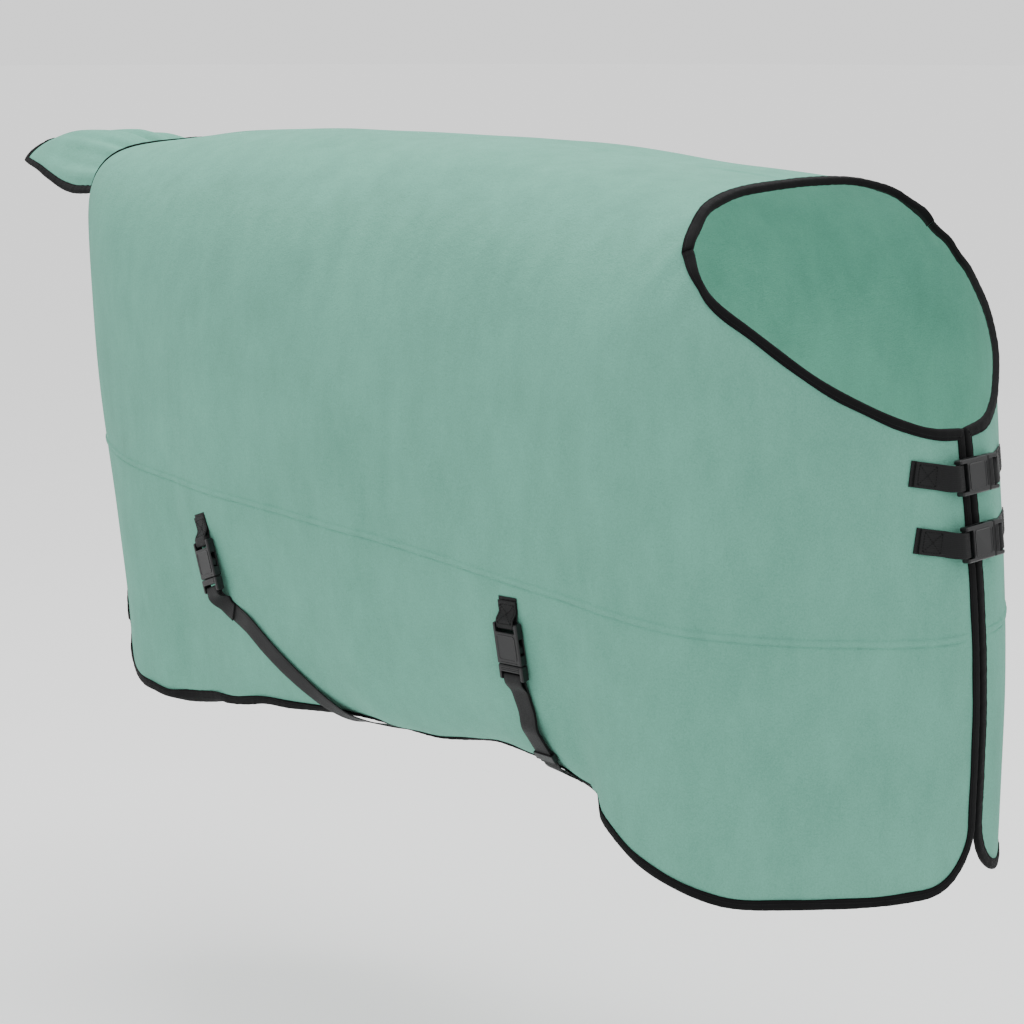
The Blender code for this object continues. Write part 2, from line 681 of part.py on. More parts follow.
def prong_mesh(side):
    """A sprung prong of the plug, with the barb that shows in the socket's side window."""
    outline = ((0, -0.002), (0, 0.002), (-0.0125, 0.002), (-0.0165, 0.0085), (-0.0245, 0.0095),
               (-PRONG_LENGTH, 0.004), (-PRONG_LENGTH, 0.0005), (-0.016, -0.0015))
    prong = bmesh.new()
    low = [prong.verts.new((a, side * b, -PRONG_THICKNESS / 2)) for a, b in outline]
    face = prong.faces.new(low)
    lifted = bmesh.ops.extrude_face_region(prong, geom=[face])["geom"]
    bmesh.ops.translate(prong, vec=(0, 0, PRONG_THICKNESS),
                        verts=[item for item in lifted if isinstance(item, bmesh.types.BMVert)])
    bmesh.ops.recalc_face_normals(prong, faces=prong.faces[:])
    mesh = bpy.data.meshes.new("buckle_prong")
    prong.to_mesh(mesh)
    prong.free()
    return mesh


def slider_mesh():
    """Keeper loop that goes round both layers of a doubled strap and slides along it."""
    inside = LAYER_PITCH / 2 + WEBBING_THICKNESS / 2 + 0.0005
    outside = inside + KEEPER_WALL
    half = SLIDER_LENGTH / 2
    opening = ((-half - 0.01, -HALF_OPENING, -inside), (half + 0.01, HALF_OPENING, inside))
    return shaped("strap_keeper", ((-half, -HALF_OPENING - KEEPER_WALL, -outside),
                                   (half, HALF_OPENING + KEEPER_WALL, outside), 0.0006), cuts=(opening,))


def frame_matrix(origin, along, outward):
    """Buckle frame: x along the strap from socket to plug, z outward."""
    along = Vector(along).normalized()
    outward = (Vector(outward) - along * Vector(outward).dot(along)).normalized()
    across = outward.cross(along)
    matrix = Matrix((along, across, outward)).transposed().to_4x4()
    matrix.translation = origin
    return matrix


def make_buckle(name, matrix, meshes, plastic):
    add_object(f"{name}_socket", meshes["socket"], plastic, matrix)
    add_object(f"{name}_plug", meshes["plug"], plastic, matrix)
    for end, side in (("upper", 1), ("lower", -1)) if "chest" in name else (("front", 1), ("rear", -1)):
        root = matrix @ Matrix.Translation((PLUG_GAP - 0.0003, side * PRONG_ROOT, MID_HEIGHT))
        add_object(f"{name}_prong_{end}", meshes[f"prong_{side}"], plastic, root)


def local(matrix, a, c):
    """A point in a buckle's middle plane and its width direction, for a webbing path."""
    return matrix @ Vector((a, 0, c)), matrix.to_3x3() @ Vector((0, 1, 0))


def bar_loop(matrix, bar, outer_first=False):
    """Webbing round a bar: in under it, up through the slot and back over it. bar is its span along x."""
    near, far = bar
    clear = WEBBING_THICKNESS / 2 + 0.0006
    turn = far + math.copysign(0.0030, far - near)
    middle = (near + far) / 2
    loop = [(near + (near - far) * 0.5, BAR_LOW - clear), (middle, BAR_LOW - clear),
            (far + (turn - far) * 0.5, BAR_LOW - clear * 0.55), (turn, MID_HEIGHT),
            (far + (turn - far) * 0.5, BAR_HIGH + clear * 0.55), (middle, BAR_HIGH + clear),
            (near + (near - far) * 0.5, BAR_HIGH + clear)]
    return [local(matrix, a, c) for a, c in (loop[::-1] if outer_first else loop)]


SOCKET_BAR_SPAN = (SOCKET_BAR - BAR_THICKNESS, SOCKET_BAR)
PLUG_BAR_SPAN = (PLUG_LENGTH, PLUG_LENGTH - BAR_THICKNESS)


# ---------------------------------------------------------------- chest straps

CHEST_HEIGHTS = {"upper": -0.366, "lower": -0.446}
CHEST_MOUTH_Y = 0.022  # the socket's mouth, just past the front edge
CHEST_TAB_REACH = 0.056  # sewn part of the tab, beyond the buckle
CHEST_TAB_RISE = 0.012  # the tab's sewn end sits higher than the buckle
CHEST_WEBBING_REACH = 0.085
CHEST_TAIL = 0.022  # free end that stands away from the chest


def chest_place(side, y, z):
    """(x, girth, side) of the chest at this distance from the middle and this height."""
    low, high = 0.55, PROFILE[-1][0]
    for _ in range(30):
        x = (low + high) / 2
        if abs(cover(x, girth_at_height(x, z), side).y) > y:
            low = x
        else:
            high = x
    return low, girth_at_height(low, z), side


def seat_shares(reach, last, spacing=0.0055):
    """Shares of a sewn length from its far end, evenly and closely spaced."""
    count = math.ceil(reach * (1 - last) / spacing)
    return [1 - (1 - last) * i / count for i in range(count + 1)]


def make_chest_strap(name, cloth, meshes, black, plastic):
    """Tab and socket on the right half, plug and adjustable webbing on the left half."""
    z = CHEST_HEIGHTS[name]
    place = chest_place(-1, 0.012, z)
    normal = outward(*place)
    normal = Vector((normal.x, 0, normal.z)).normalized()
    front = cover(*place) + normal * BUCKLE_LIFT
    origin = Vector((front.x, CHEST_MOUTH_Y, front.z))
    matrix = frame_matrix(origin, (0, 1, 0), normal)
    make_buckle(f"chest_{name}", matrix, meshes, plastic)

    bar_y = -(CHEST_MOUTH_Y + SOCKET_BAR - BAR_THICKNESS)
    inner, outer = [], []
    for share in seat_shares(CHEST_TAB_REACH, 0.4):
        y = bar_y + CHEST_TAB_REACH * share
        point, normal, across = lay(cloth, chest_place(-1, y, z + CHEST_TAB_RISE * share), (0, 1, 0), SEWN_GAP)
        inner.append((point, across))
        outer.insert(0, (point + normal * LAYER_PITCH, across))
    webbing(f"chest_{name}_tab", inner + bar_loop(matrix, SOCKET_BAR_SPAN) + outer[:-1], black)

    plug_y = CHEST_MOUTH_Y + PLUG_LENGTH
    inner = []
    for share in seat_shares(CHEST_WEBBING_REACH, 0.3):
        y = plug_y + CHEST_WEBBING_REACH * share
        point, normal, across = lay(cloth, chest_place(1, y, z), (0, 1, 0), SEWN_GAP)
        inner.append((point, across))
    tail = [local(matrix, PLUG_LENGTH + 0.008, BAR_HIGH + 0.004),
            local(matrix, PLUG_LENGTH + 0.012, BAR_HIGH + 0.011),
            local(matrix, PLUG_LENGTH + 0.013, BAR_HIGH + 0.011 + CHEST_TAIL)]
    webbing(f"chest_{name}_webbing", inner + bar_loop(matrix, PLUG_BAR_SPAN)[:-1] + tail, black)


# ---------------------------------------------------------------- belly surcingles

# mouth: x and height of the right buckle's mouth; hem: x at the right and the left hem; anchor: x on
# the left; tab: x and height of the sewn end; doubled: length of the strap's free end along itself
SURCINGLES = {
    "front": {"mouth": (0.319, -0.632), "hem": (0.338, 0.312), "anchor": 0.305, "tab": (0.313, -0.545), "stand": 0.0,
              "lie": (0.30,), "straight": (0.44, 0.82), "doubled": 0.136},
    "rear": {"mouth": (-0.303, -0.630), "hem": (-0.060, -0.089), "anchor": -0.085, "tab": (-0.338, -0.541), "stand": 0.0045,
             "lie": (0.25, 0.38, 0.52, 0.66, 0.8, 0.92), "doubled": 0.045},
}
BELLY_SAG = 0.050  # how far a surcingle hangs below the hems
SURCINGLE_CLEARANCE = 0.0035  # between loose webbing and the cloth
KEEPER_HEIGHT = 0.0100  # of the straight stretch's ends over the middle of the cloth
ANCHOR_LENGTH = 0.045
ANCHOR_GAP = 0.0012


def height_of(z):
    """The profile's height for a height in the rug's frame."""
    return (z - HALF_FLEECE) / SCALE_Z + SPINE_HEIGHT


def height_place(x, z, side):
    return x, girth_at_height(x, z), side


def loose(place, height):
    return cover(*place) + outward(*place) * height, outward(*place)


def make_surcingle(name, cloth, meshes, black, plastic):
    """Tab and socket on the right skirt; plug and webbing run under the belly to the left skirt."""
    layout = SURCINGLES[name]
    mouth = height_place(*layout["mouth"], -1)
    normal = outward(*mouth)
    sewn = height_place(*layout["tab"], -1)
    along = cover(*mouth) - cover(*sewn)
    origin = cover(*mouth) + normal * (HALF_FLEECE + layout["stand"] + 0.0022)
    along = along.normalized() + normal * layout["stand"] / (SOCKET_LENGTH + BAR_SLOT)
    matrix = frame_matrix(origin, along, normal)
    make_buckle(f"surcingle_{name}", matrix, meshes, plastic)

    bar = matrix @ Vector((SOCKET_BAR - BAR_THICKNESS, 0, 0))
    inner, outer = [], []
    for share in seat_shares((bar - cover(*sewn)).length, 0.45):
        spot = bar.lerp(cover(*sewn), share)
        place = height_place(spot.x / SCALE_X, height_of(spot.z), -1)
        point, up, across = lay(cloth, place, along, SEWN_GAP)
        inner.append((point, across))
        outer.insert(0, (point + up * LAYER_PITCH, across))
    webbing(f"surcingle_{name}_tab", inner + bar_loop(matrix, SOCKET_BAR_SPAN) + outer[:-1], black)

    controls = strap_controls(surcingle_places(cloth, matrix, layout))
    doubled = doubled_back(matrix, controls, layout["doubled"])
    webbing(f"surcingle_{name}_webbing", controls[::-1] + bar_loop(matrix, PLUG_BAR_SPAN) + doubled, black,
            step=0.03)

    anchor_x, top = layout["anchor"], anchor_height(matrix, layout["anchor"])
    rise = [lay(cloth, height_place(anchor_x, top + ANCHOR_GAP + ANCHOR_LENGTH * share, 1), (0, 0, 1), SEWN_GAP)
            for share in seat_shares(ANCHOR_LENGTH, 0)]
    webbing(f"surcingle_{name}_anchor", [(point, across) for point, _, across in rise], black)
    return matrix, controls


def surcingle_places(cloth, matrix, layout):
    """Points and normals of the loose webbing, from the plug under the belly to the left anchor."""
    height = HALF_FLEECE + SURCINGLE_CLEARANCE + WEBBING_THICKNESS / 2
    over_hem = BINDING_TOP + SURCINGLE_CLEARANCE + WEBBING_THICKNESS / 2
    hem_right = (layout["hem"][0], hem_girth(layout["hem"][0]), -1)
    hem_left = (layout["hem"][1], hem_girth(layout["hem"][1]), 1)
    end = matrix @ Vector((PLUG_LENGTH, 0, 0))
    start_x, start = end.x / SCALE_X, girth_at_height(end.x / SCALE_X, height_of(end.z))
    after = matrix @ Vector((PLUG_LENGTH + 0.018, 0, 0))
    spots = [(after.x / SCALE_X, girth_at_height(after.x / SCALE_X, height_of(after.z)), -1)]
    for share in layout["lie"]:
        x = start_x + (hem_right[0] - start_x) * share
        spots.append((x, start + (hem_right[1] - start) * share, -1))
    places = []
    for i, spot in enumerate(spots):
        along = cover(*spots[min(i + 1, len(spots) - 1)]) - cover(*spots[max(i - 1, 0)])
        point, normal, _ = lay(cloth, spot, along, SURCINGLE_CLEARANCE)
        places.append((point, normal))
    if "straight" in layout:
        places += straight_stretch(*(loose((start_x + (hem_right[0] - start_x) * share,
                                            start + (hem_right[1] - start) * share, -1), KEEPER_HEIGHT)
                                     for share in layout["straight"]))
    if "straight" in layout:
        places.append(loose(hem_right, over_hem))
    else:
        point, normal, _ = lay(cloth, hem_right, places[-1][0] - places[-2][0], SURCINGLE_CLEARANCE)
        places.append((point, normal))
    right, left = places[-1][0], loose(hem_left, over_hem)[0]
    for share in (0.15, 0.5, 0.85):
        spot = right.lerp(left, share)
        sag = 4 * share * (1 - share) * BELLY_SAG * SCALE_Z
        slope = (1 - 2 * share) * 0.4
        places.append((spot - Vector((0, 0, sag)), Vector((0, -slope, -1)).normalized()))
    anchor_x = layout["anchor"]
    top = girth_at_height(anchor_x, anchor_height(matrix, anchor_x))
    for share in (0, 0.1, 0.22, 0.36, 0.5, 0.65, 0.8, 0.92, 1):
        spot = (hem_left[0] + (anchor_x - hem_left[0]) * share, hem_left[1] + (top - hem_left[1]) * share, 1)
        gap = SURCINGLE_CLEARANCE * (1 - share) + SEWN_GAP * share
        point, normal, _ = lay(cloth, spot, (0, 0, 1), gap)
        places.append((point, normal))
    return places


def straight_stretch(upper, lower):
    """A stretch of strap that is straight between two places, for a keeper to slide on."""
    (top, normal), (bottom, _) = upper, lower
    return [(top.lerp(bottom, share), normal) for share in (0, 0.13, 0.87, 1)]


def anchor_height(matrix, anchor_x):
    """Height of the left end that makes the plug leave its socket straight as the strap swings down."""
    along = matrix.to_3x3() @ Vector((1, 0, 0))
    plug = matrix @ Vector((0, 0, MID_HEIGHT))
    half = profile_value(2, anchor_x) * SCALE_Y
    level = (anchor_x * SCALE_X - plug.x) * along.x + (half - plug.y) * along.y
    return height_of(plug.z - level / along.z)


def doubled_back(matrix, controls, length):
    """The strap's free end, laid back along the strap from the plug."""
    path = spline([local(matrix, PLUG_LENGTH + 0.0025, BAR_LOW - 0.0014)] + controls, 0.012)
    reach, doubled = 0.0, []
    for (before, _), (place, side) in zip(path, path[1:]):
        reach += (place - before).length
        if reach > length:
            break
        if reach > 0.016:
            doubled.append((place + (place - before).cross(side).normalized() * LAYER_PITCH, side))
    return doubled


def make_slider(controls, layout, meshes, plastic):
    """The keeper that holds the front surcingle's free end against the strap, near the hem."""
    first = len(layout["lie"]) + 2
    (upper, side), (lower, _) = controls[first], controls[first + 1]
    along = (lower - upper).normalized()
    outer = along.cross(side).normalized()
    origin = lower - along * SLIDER_LENGTH + outer * LAYER_PITCH / 2
    add_object("surcingle_front_slider", meshes["slider"], plastic, frame_matrix(origin, along, outer))


def main():
    clear_scene()
    fleece = material("sage_fleece", (0.35, 0.52, 0.44), 0.95)
    tape = material("black_binding", (0.015, 0.015, 0.016), 0.75)
    black = material("black_webbing", (0.012, 0.012, 0.013), 0.85)
    plastic = material("black_plastic", (0.02, 0.02, 0.022), 0.45)
    body = make_body(fleece, tape)
    fronts = {name: make_front(name, side, fleece, tape) for name, side in SIDES.items()}
    make_tail_flap(fleece, tape)
    meshes = {"socket": socket_mesh(), "plug": plug_mesh(), "slider": slider_mesh(),
              "prong_1": prong_mesh(1), "prong_-1": prong_mesh(-1)}
    cloth = surface_of([obj for obj in bpy.data.objects if obj.type == "MESH"])
    for name in CHEST_HEIGHTS:
        make_chest_strap(name, cloth, meshes, black, plastic)
    for name in SURCINGLES:
        _, controls = make_surcingle(name, cloth, meshes, black, plastic)
        if name == "front":
            make_slider(controls, SURCINGLES[name], meshes, plastic)


main()
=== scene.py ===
"""Fleece horse rug in its worn shape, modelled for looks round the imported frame.

Frame: +X towards the horse's head, +Y to its left, +Z up, in metres. The origin is on the lining over the
spine, halfway along the back.
"""

import sys

import logging
import math
from dataclasses import dataclass, field
from enum import Enum

import bmesh
import bpy
import numpy as np
from mathutils import Matrix, Vector


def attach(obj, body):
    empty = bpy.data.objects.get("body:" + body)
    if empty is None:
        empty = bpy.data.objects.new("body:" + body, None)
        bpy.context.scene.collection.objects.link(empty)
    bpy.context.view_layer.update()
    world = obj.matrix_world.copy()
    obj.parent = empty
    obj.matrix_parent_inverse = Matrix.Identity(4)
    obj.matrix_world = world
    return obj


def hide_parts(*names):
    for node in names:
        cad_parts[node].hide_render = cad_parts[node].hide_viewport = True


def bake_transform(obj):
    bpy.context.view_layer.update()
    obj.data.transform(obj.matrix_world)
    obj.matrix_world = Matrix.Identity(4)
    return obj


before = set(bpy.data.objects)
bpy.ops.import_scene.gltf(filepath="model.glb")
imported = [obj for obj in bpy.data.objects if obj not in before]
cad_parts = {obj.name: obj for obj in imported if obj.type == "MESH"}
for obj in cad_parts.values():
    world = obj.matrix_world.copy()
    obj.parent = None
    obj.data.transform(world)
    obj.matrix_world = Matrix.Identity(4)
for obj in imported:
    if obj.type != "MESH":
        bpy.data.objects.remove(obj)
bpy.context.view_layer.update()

log = logging.getLogger("rug")

Array = np.ndarray


class Side(Enum):
    """A side of the horse, and the sign of y there."""

    RIGHT = -1
    LEFT = 1

    @property
    def label(self) -> str:
        """The side's name as the frame spells it."""
        return self.name.lower()


class Slot(Enum):
    """The record's material slots."""

    FLEECE = "fleece"
    BINDING = "binding"
    WEBBING = "webbing"
    BUCKLES = "buckles"


# ---------------------------------------------------------------- finishes


class NodeTree:
    """A material's nodes, added and linked in the order that a pattern is built up."""

    def __init__(self, name: str) -> None:
        """Starts an empty material with a shader and an output.

        Args:
            name: the material's name.
        """
        self.material = bpy.data.materials.new(name)
        self.material.use_nodes = True
        self.tree = self.material.node_tree
        self.shader = self.tree.nodes["Principled BSDF"]

    def add(self, kind: str, **settings: object) -> bpy.types.Node:
        """Adds a node.

        Args:
            kind: the node's type, without the ShaderNode prefix.
            settings: properties of the node, or inputs given by name with spaces as underscores.

        Returns:
            The new node.
        """
        node = self.tree.nodes.new(f"ShaderNode{kind}")
        for key, value in settings.items():
            plug = node.inputs.get(key.replace("_", " "))
            if plug is not None:
                plug.default_value = value
            else:
                setattr(node, key, value)
        return node

    def link(self, source: bpy.types.NodeSocket, target: bpy.types.NodeSocket) -> None:
        """Joins two sockets."""
        self.tree.links.new(source, target)

    def scaled(self, coordinates: bpy.types.NodeSocket,
               scale: tuple[float, float, float]) -> bpy.types.NodeSocket:
        """Coordinates stretched by a scale for each axis.

        Args:
            coordinates: the socket to stretch.
            scale: the factors.

        Returns:
            The stretched coordinates.
        """
        mapping = self.add("Mapping", Scale=scale)
        self.link(coordinates, mapping.inputs["Vector"])
        return mapping.outputs["Vector"]

    def noise(self, coordinates: bpy.types.NodeSocket, scale: float, detail: float = 2.0,
              roughness: float = 0.5) -> bpy.types.NodeSocket:
        """A noise pattern.

        Args:
            coordinates: where to read it.
            scale: cells per metre.
            detail: octaves.
            roughness: how much the fine octaves count.

        Returns:
            The pattern, from 0 to 1.
        """
        node = self.add("TexNoise", Scale=scale, Detail=detail, Roughness=roughness)
        self.link(coordinates, node.inputs["Vector"])
        return node.outputs[0]

    def maths(self, operation: str, first: object, second: object = 0.0) -> bpy.types.NodeSocket:
        """One sum on two values or sockets.

        Args:
            operation: the Math node's operation.
            first: a number or a socket.
            second: a number or a socket.

        Returns:
            The result.
        """
        node = self.add("Math", operation=operation)
        for plug, value in zip(node.inputs, (first, second)):
            if isinstance(value, bpy.types.NodeSocket):
                self.link(value, plug)
            else:
                plug.default_value = value
        return node.outputs[0]

    def place(self) -> bpy.types.NodeSocket:
        """The piece's own coordinates."""
        return self.add("TexCoord").outputs["Object"]

    def uv(self) -> tuple[bpy.types.NodeSocket, bpy.types.NodeSocket]:
        """The piece's UV map, as distances along it and across it."""
        split = self.add("SeparateXYZ")
        self.link(self.add("TexCoord").outputs["UV"], split.inputs[0])
        return split.outputs[0], split.outputs[1]

    def graded(self, source: bpy.types.NodeSocket, factor: float, offset: float) -> bpy.types.NodeSocket:
        """A pattern stretched by a factor and then raised by an offset."""
        return self.maths("ADD", self.maths("MULTIPLY", source, factor), offset)

    def weighted(self, *terms: tuple[bpy.types.NodeSocket, float]) -> bpy.types.NodeSocket:
        """A sum of patterns.

        Args:
            terms: each pattern and its weight.

        Returns:
            The sum.
        """
        first, *others = (self.maths("MULTIPLY", pattern, weight) for pattern, weight in terms)
        for other in others:
            first = self.maths("ADD", first, other)
        return first

    def tones(self, factor: bpy.types.NodeSocket, colour: tuple[float, float, float],
              *stops: tuple[float, float]) -> bpy.types.NodeSocket:
        """Lighter and darker tones of a colour along a factor.

        Args:
            factor: the socket that picks the tone.
            colour: the colour.
            stops: positions, and how much lighter than the colour each is.

        Returns:
            The tone.
        """
        node = self.add("ValToRGB")
        elements = node.color_ramp.elements
        while len(elements) < len(stops):
            elements.new(0.5)
        for element, (position, lighter) in zip(elements, stops):
            element.position = position
            element.color = (*(min(channel * lighter, 1.0) for channel in colour), 1)
        self.link(factor, node.inputs["Fac"])
        return node.outputs["Color"]

    def bump(self, height: bpy.types.NodeSocket, distance: float, strength: float = 1.0,
             below: bpy.types.NodeSocket | None = None) -> bpy.types.NodeSocket:
        """A bumped normal.

        Args:
            height: the pattern, from 0 to 1.
            distance: height of the pattern in metres.
            strength: share of it that shows.
            below: a normal that this one adds to.

        Returns:
            The normal.
        """
        node = self.add("Bump", Distance=distance, Strength=strength)
        self.link(height, node.inputs["Height"])
        if below is not None:
            self.link(below, node.inputs["Normal"])
        return node.outputs["Normal"]

    def set(self, **values: object) -> None:
        """Sets constants on the shader's own sockets, given by name with spaces as underscores."""
        for key, value in values.items():
            self.shader.inputs[key.replace("_", " ")].default_value = value

    def finish(self, colour: bpy.types.NodeSocket, normal: bpy.types.NodeSocket,
               roughness: bpy.types.NodeSocket | None = None) -> bpy.types.Material:
        """Plugs the built patterns into the shader.

        Args:
            colour: the base colour.
            normal: the bumped normal.
            roughness: the roughness, if it varies.

        Returns:
            The finished material.
        """
        self.link(colour, self.shader.inputs["Base Color"])
        self.link(normal, self.shader.inputs["Normal"])
        if roughness is not None:
            self.link(roughness, self.shader.inputs["Roughness"])
        return self.material


@dataclass(frozen=True)
class Fleece:
    """Brushed knitted fleece: short dense pile, faintly mottled where the nap lies another way."""

    colour: tuple[float, float, float] = (0.128, 0.345, 0.262)
    pile: float = 520.0  # tufts per metre
    pile_height: float = 0.0011
    mottle: float = 26.0  # patches per metre
    sheen: float = 0.06

    def make(self) -> bpy.types.Material:
        """Builds the material.

        Returns:
            The finished material.
        """
        nodes = NodeTree("sage_fleece")
        place = nodes.place()
        tufts = nodes.noise(place, self.pile, 3.0, 0.65)
        clumps = nodes.noise(place, self.pile / 4, 2.0, 0.55)
        nap = nodes.noise(nodes.scaled(place, (1.0, 1.0, 0.45)), self.mottle, 3.0, 0.6)
        broad = nodes.noise(place, self.mottle / 5, 1.0, 0.5)
        mixed = nodes.weighted((nap, 0.30), (tufts, 0.50), (broad, 0.20))
        colour = nodes.tones(mixed, self.colour, (0.30, 0.80), (0.5, 1.0), (0.70, 1.20))
        normal = nodes.bump(clumps, self.pile_height * 1.6, 0.55)
        normal = nodes.bump(tufts, self.pile_height, 0.8, normal)
        nodes.set(Roughness=0.95, Sheen_Weight=self.sheen, Sheen_Roughness=0.45,
                  Sheen_Tint=(0.78, 0.93, 0.86, 1.0), Specular_IOR_Level=0.12)
        return nodes.finish(colour, normal)


@dataclass(frozen=True)
class Tape:
    """Woven binding tape: fine cross ribs and one row of lockstitch near the inner edge."""

    colour: tuple[float, float, float] = (0.0038, 0.0040, 0.0043)
    rib_pitch: float = 0.0011
    stitch_length: float = 0.0034
    stitch_gap: float = 0.11  # share of a stitch's length that is left bare at each of its ends
    stitch_from_edge: float = 0.0093
    stitch_width: float = 0.0008

    def make(self) -> bpy.types.Material:
        """Builds the material; UV u runs along the tape and v across it from its fold, in metres.

        Returns:
            The finished material.
        """
        nodes = NodeTree("black_binding")
        place = nodes.place()
        along, across = nodes.uv()
        ribs = nodes.maths("SINE", nodes.maths("MULTIPLY", along, 2 * math.pi / self.rib_pitch))
        ribs = nodes.graded(ribs, 0.5, 0.5)
        grain = nodes.noise(place, 900.0, 2.0)
        wear = nodes.noise(place, 45.0, 2.0)
        dash = nodes.maths("PINGPONG", along, self.stitch_length / 2)
        dash = nodes.maths("GREATER_THAN", dash, self.stitch_length * self.stitch_gap)
        from_row = nodes.maths("SUBTRACT", nodes.maths("ABSOLUTE", across), self.stitch_from_edge)
        row = nodes.maths("LESS_THAN", nodes.maths("ABSOLUTE", from_row), self.stitch_width / 2)
        thread = nodes.maths("MULTIPLY", dash, row)
        height = nodes.weighted((ribs, 0.45), (grain, 0.55), (thread, 1.6))
        level = nodes.weighted((wear, 0.6), (thread, 0.5))
        colour = nodes.tones(level, self.colour, (0.15, 0.75), (0.45, 1.1), (0.95, 2.6))
        nodes.set(Roughness=0.85, Sheen_Weight=0.02, Sheen_Roughness=0.4, Specular_IOR_Level=0.14)
        return nodes.finish(colour, nodes.bump(height, 0.00035, 0.8))


@dataclass(frozen=True)
class Webbing:
    """Woven polypropylene webbing: ribs along it, crossed by the weft, with a faint lustre, painted shade in
    the grooves of the weave and painted highlight on its ridges.
    """

    colour: tuple[float, float, float] = (0.0034, 0.0036, 0.0039)
    rib_pitch: float = 0.0024
    weft_pitch: float = 0.0016

    def make(self) -> bpy.types.Material:
        """Builds the material; UV u runs along the strap and v across it, in metres.

        Returns:
            The finished material.
        """
        nodes = NodeTree("black_webbing")
        place = nodes.place()
        along, across = nodes.uv()
        rib = nodes.maths("MULTIPLY", across, 2 * math.pi / self.rib_pitch)
        weft = nodes.maths("MULTIPLY", along, 2 * math.pi / self.weft_pitch)
        slant = nodes.maths("ADD", weft, nodes.maths("MULTIPLY", nodes.maths("COSINE", rib), 1.1))
        ridge = nodes.maths("ABSOLUTE", nodes.maths("COSINE", nodes.maths("MULTIPLY", rib, 0.5)))
        yarn = nodes.graded(nodes.maths("SINE", slant), 0.5, 0.5)
        fuzz = nodes.noise(place, 1100.0, 2.0)
        wear = nodes.noise(place, 30.0, 3.0)
        height = nodes.weighted((ridge, 0.5), (yarn, 0.38), (fuzz, 0.12))
        # the colour follows the weave's height as well as its wear: painted shade in the grooves between the
        # yarns and painted highlight on their crowns
        level = nodes.weighted((height, 0.6), (wear, 0.4))
        colour = nodes.tones(level, self.colour, (0.15, 0.55), (0.5, 1.0), (0.95, 2.4))
        nodes.set(Sheen_Weight=0.01, Sheen_Roughness=0.35, Specular_IOR_Level=0.22)
        return nodes.finish(colour, nodes.bump(height, 0.0005, 0.85), nodes.graded(wear, 0.2, 0.48))


@dataclass(frozen=True)
class Plastic:
    """Moulded acetal: dark grey, satin, with a fine eroded texture."""

    colour: tuple[float, float, float] = (0.0060, 0.0063, 0.0068)

    def make(self) -> bpy.types.Material:
        """Builds the material.

        Returns:
            The finished material.
        """
        nodes = NodeTree("moulded_plastic")
        place = nodes.place()
        grain = nodes.noise(place, 1500.0, 2.0)
        scuffs = nodes.noise(place, 160.0, 4.0, 0.7)
        colour = nodes.tones(scuffs, self.colour, (0.3, 0.85), (0.75, 1.5))
        nodes.set(Specular_IOR_Level=0.34)
        return nodes.finish(colour, nodes.bump(grain, 0.00012, 0.5), nodes.graded(scuffs, 0.22, 0.30))


@dataclass
class Wardrobe:
    """One material for each slot of the record."""

    made: dict[Slot, bpy.types.Material] = field(default_factory=dict)

    def build(self) -> None:
        """Makes every finish once."""
        for name, finish in ((Slot.FLEECE, Fleece()), (Slot.BINDING, Tape()), (Slot.WEBBING, Webbing()),
                             (Slot.BUCKLES, Plastic())):
            self.made[name] = finish.make()

    def dress(self, obj: bpy.types.Object, slot: Slot) -> None:
        """Puts a finish on a piece.

        Args:
            obj: a new piece, or a CAD node whose own slots are repainted.
            slot: which finish.
        """
        if obj.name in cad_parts:
            for holder in obj.material_slots:
                holder.material = self.made[slot]
            return
        obj.data.materials.append(self.made[slot])


# ---------------------------------------------------------------- mesh helpers


def settled(made: bmesh.types.BMesh, name: str, smooth: bool = True) -> bpy.types.Mesh:
    """Turns a bmesh into a mesh and frees it.

    Args:
        made: the bmesh.
        name: the mesh's name.
        smooth: whether it is shaded smooth.

    Returns:
        The mesh.
    """
    mesh = bpy.data.meshes.new(name)
    made.to_mesh(mesh)
    made.free()
    if smooth:
        mesh.shade_smooth()
    return mesh


def skin(name: str, rings: Array, closed: bool = False, along: Array | None = None,
         across: Array | None = None) -> bpy.types.Mesh:
    """A skin through rings of points, capped at both ends where the rings are closed.

    Args:
        name: the mesh's name.
        rings: points, as (rings, points in a ring, 3).
        closed: whether each ring joins up with itself.
        along: UV u of each ring.
        across: UV v of each point of a ring.

    Returns:
        The mesh, shaded smooth.
    """
    count, width, _ = rings.shape
    if closed:
        rings = np.concatenate([rings, rings[:, :1]], 1)
        across = None if across is None else np.append(across, across[0])
        width += 1
    made = bmesh.new()
    bmesh.ops.create_grid(made, x_segments=width - 1, y_segments=count - 1, size=1)
    made.verts.ensure_lookup_table()
    made.verts.index_update()
    for vert, point in zip(made.verts, rings.reshape(-1, 3)):
        vert.co = point
    if along is not None and across is not None:
        layer = made.loops.layers.uv.new("UVMap")
        for face in made.faces:
            indices = [loop.vert.index for loop in face.loops]
            for loop, index in zip(face.loops, indices):
                loop[layer].uv = (along[index // width], across[index % width])
    if closed:
        bmesh.ops.remove_doubles(made, verts=made.verts[:], dist=1e-6)
        rim = [edge for edge in made.edges if edge.is_boundary]
        bmesh.ops.holes_fill(made, edges=rim, sides=0)
        bmesh.ops.recalc_face_normals(made, faces=made.faces[:])
    return settled(made, name)


def piece(name: str, mesh: bpy.types.Mesh) -> bpy.types.Object:
    """Puts a mesh in the scene as a piece at the origin."""
    obj = bpy.data.objects.new(name, mesh)
    bpy.context.scene.collection.objects.link(obj)
    return obj


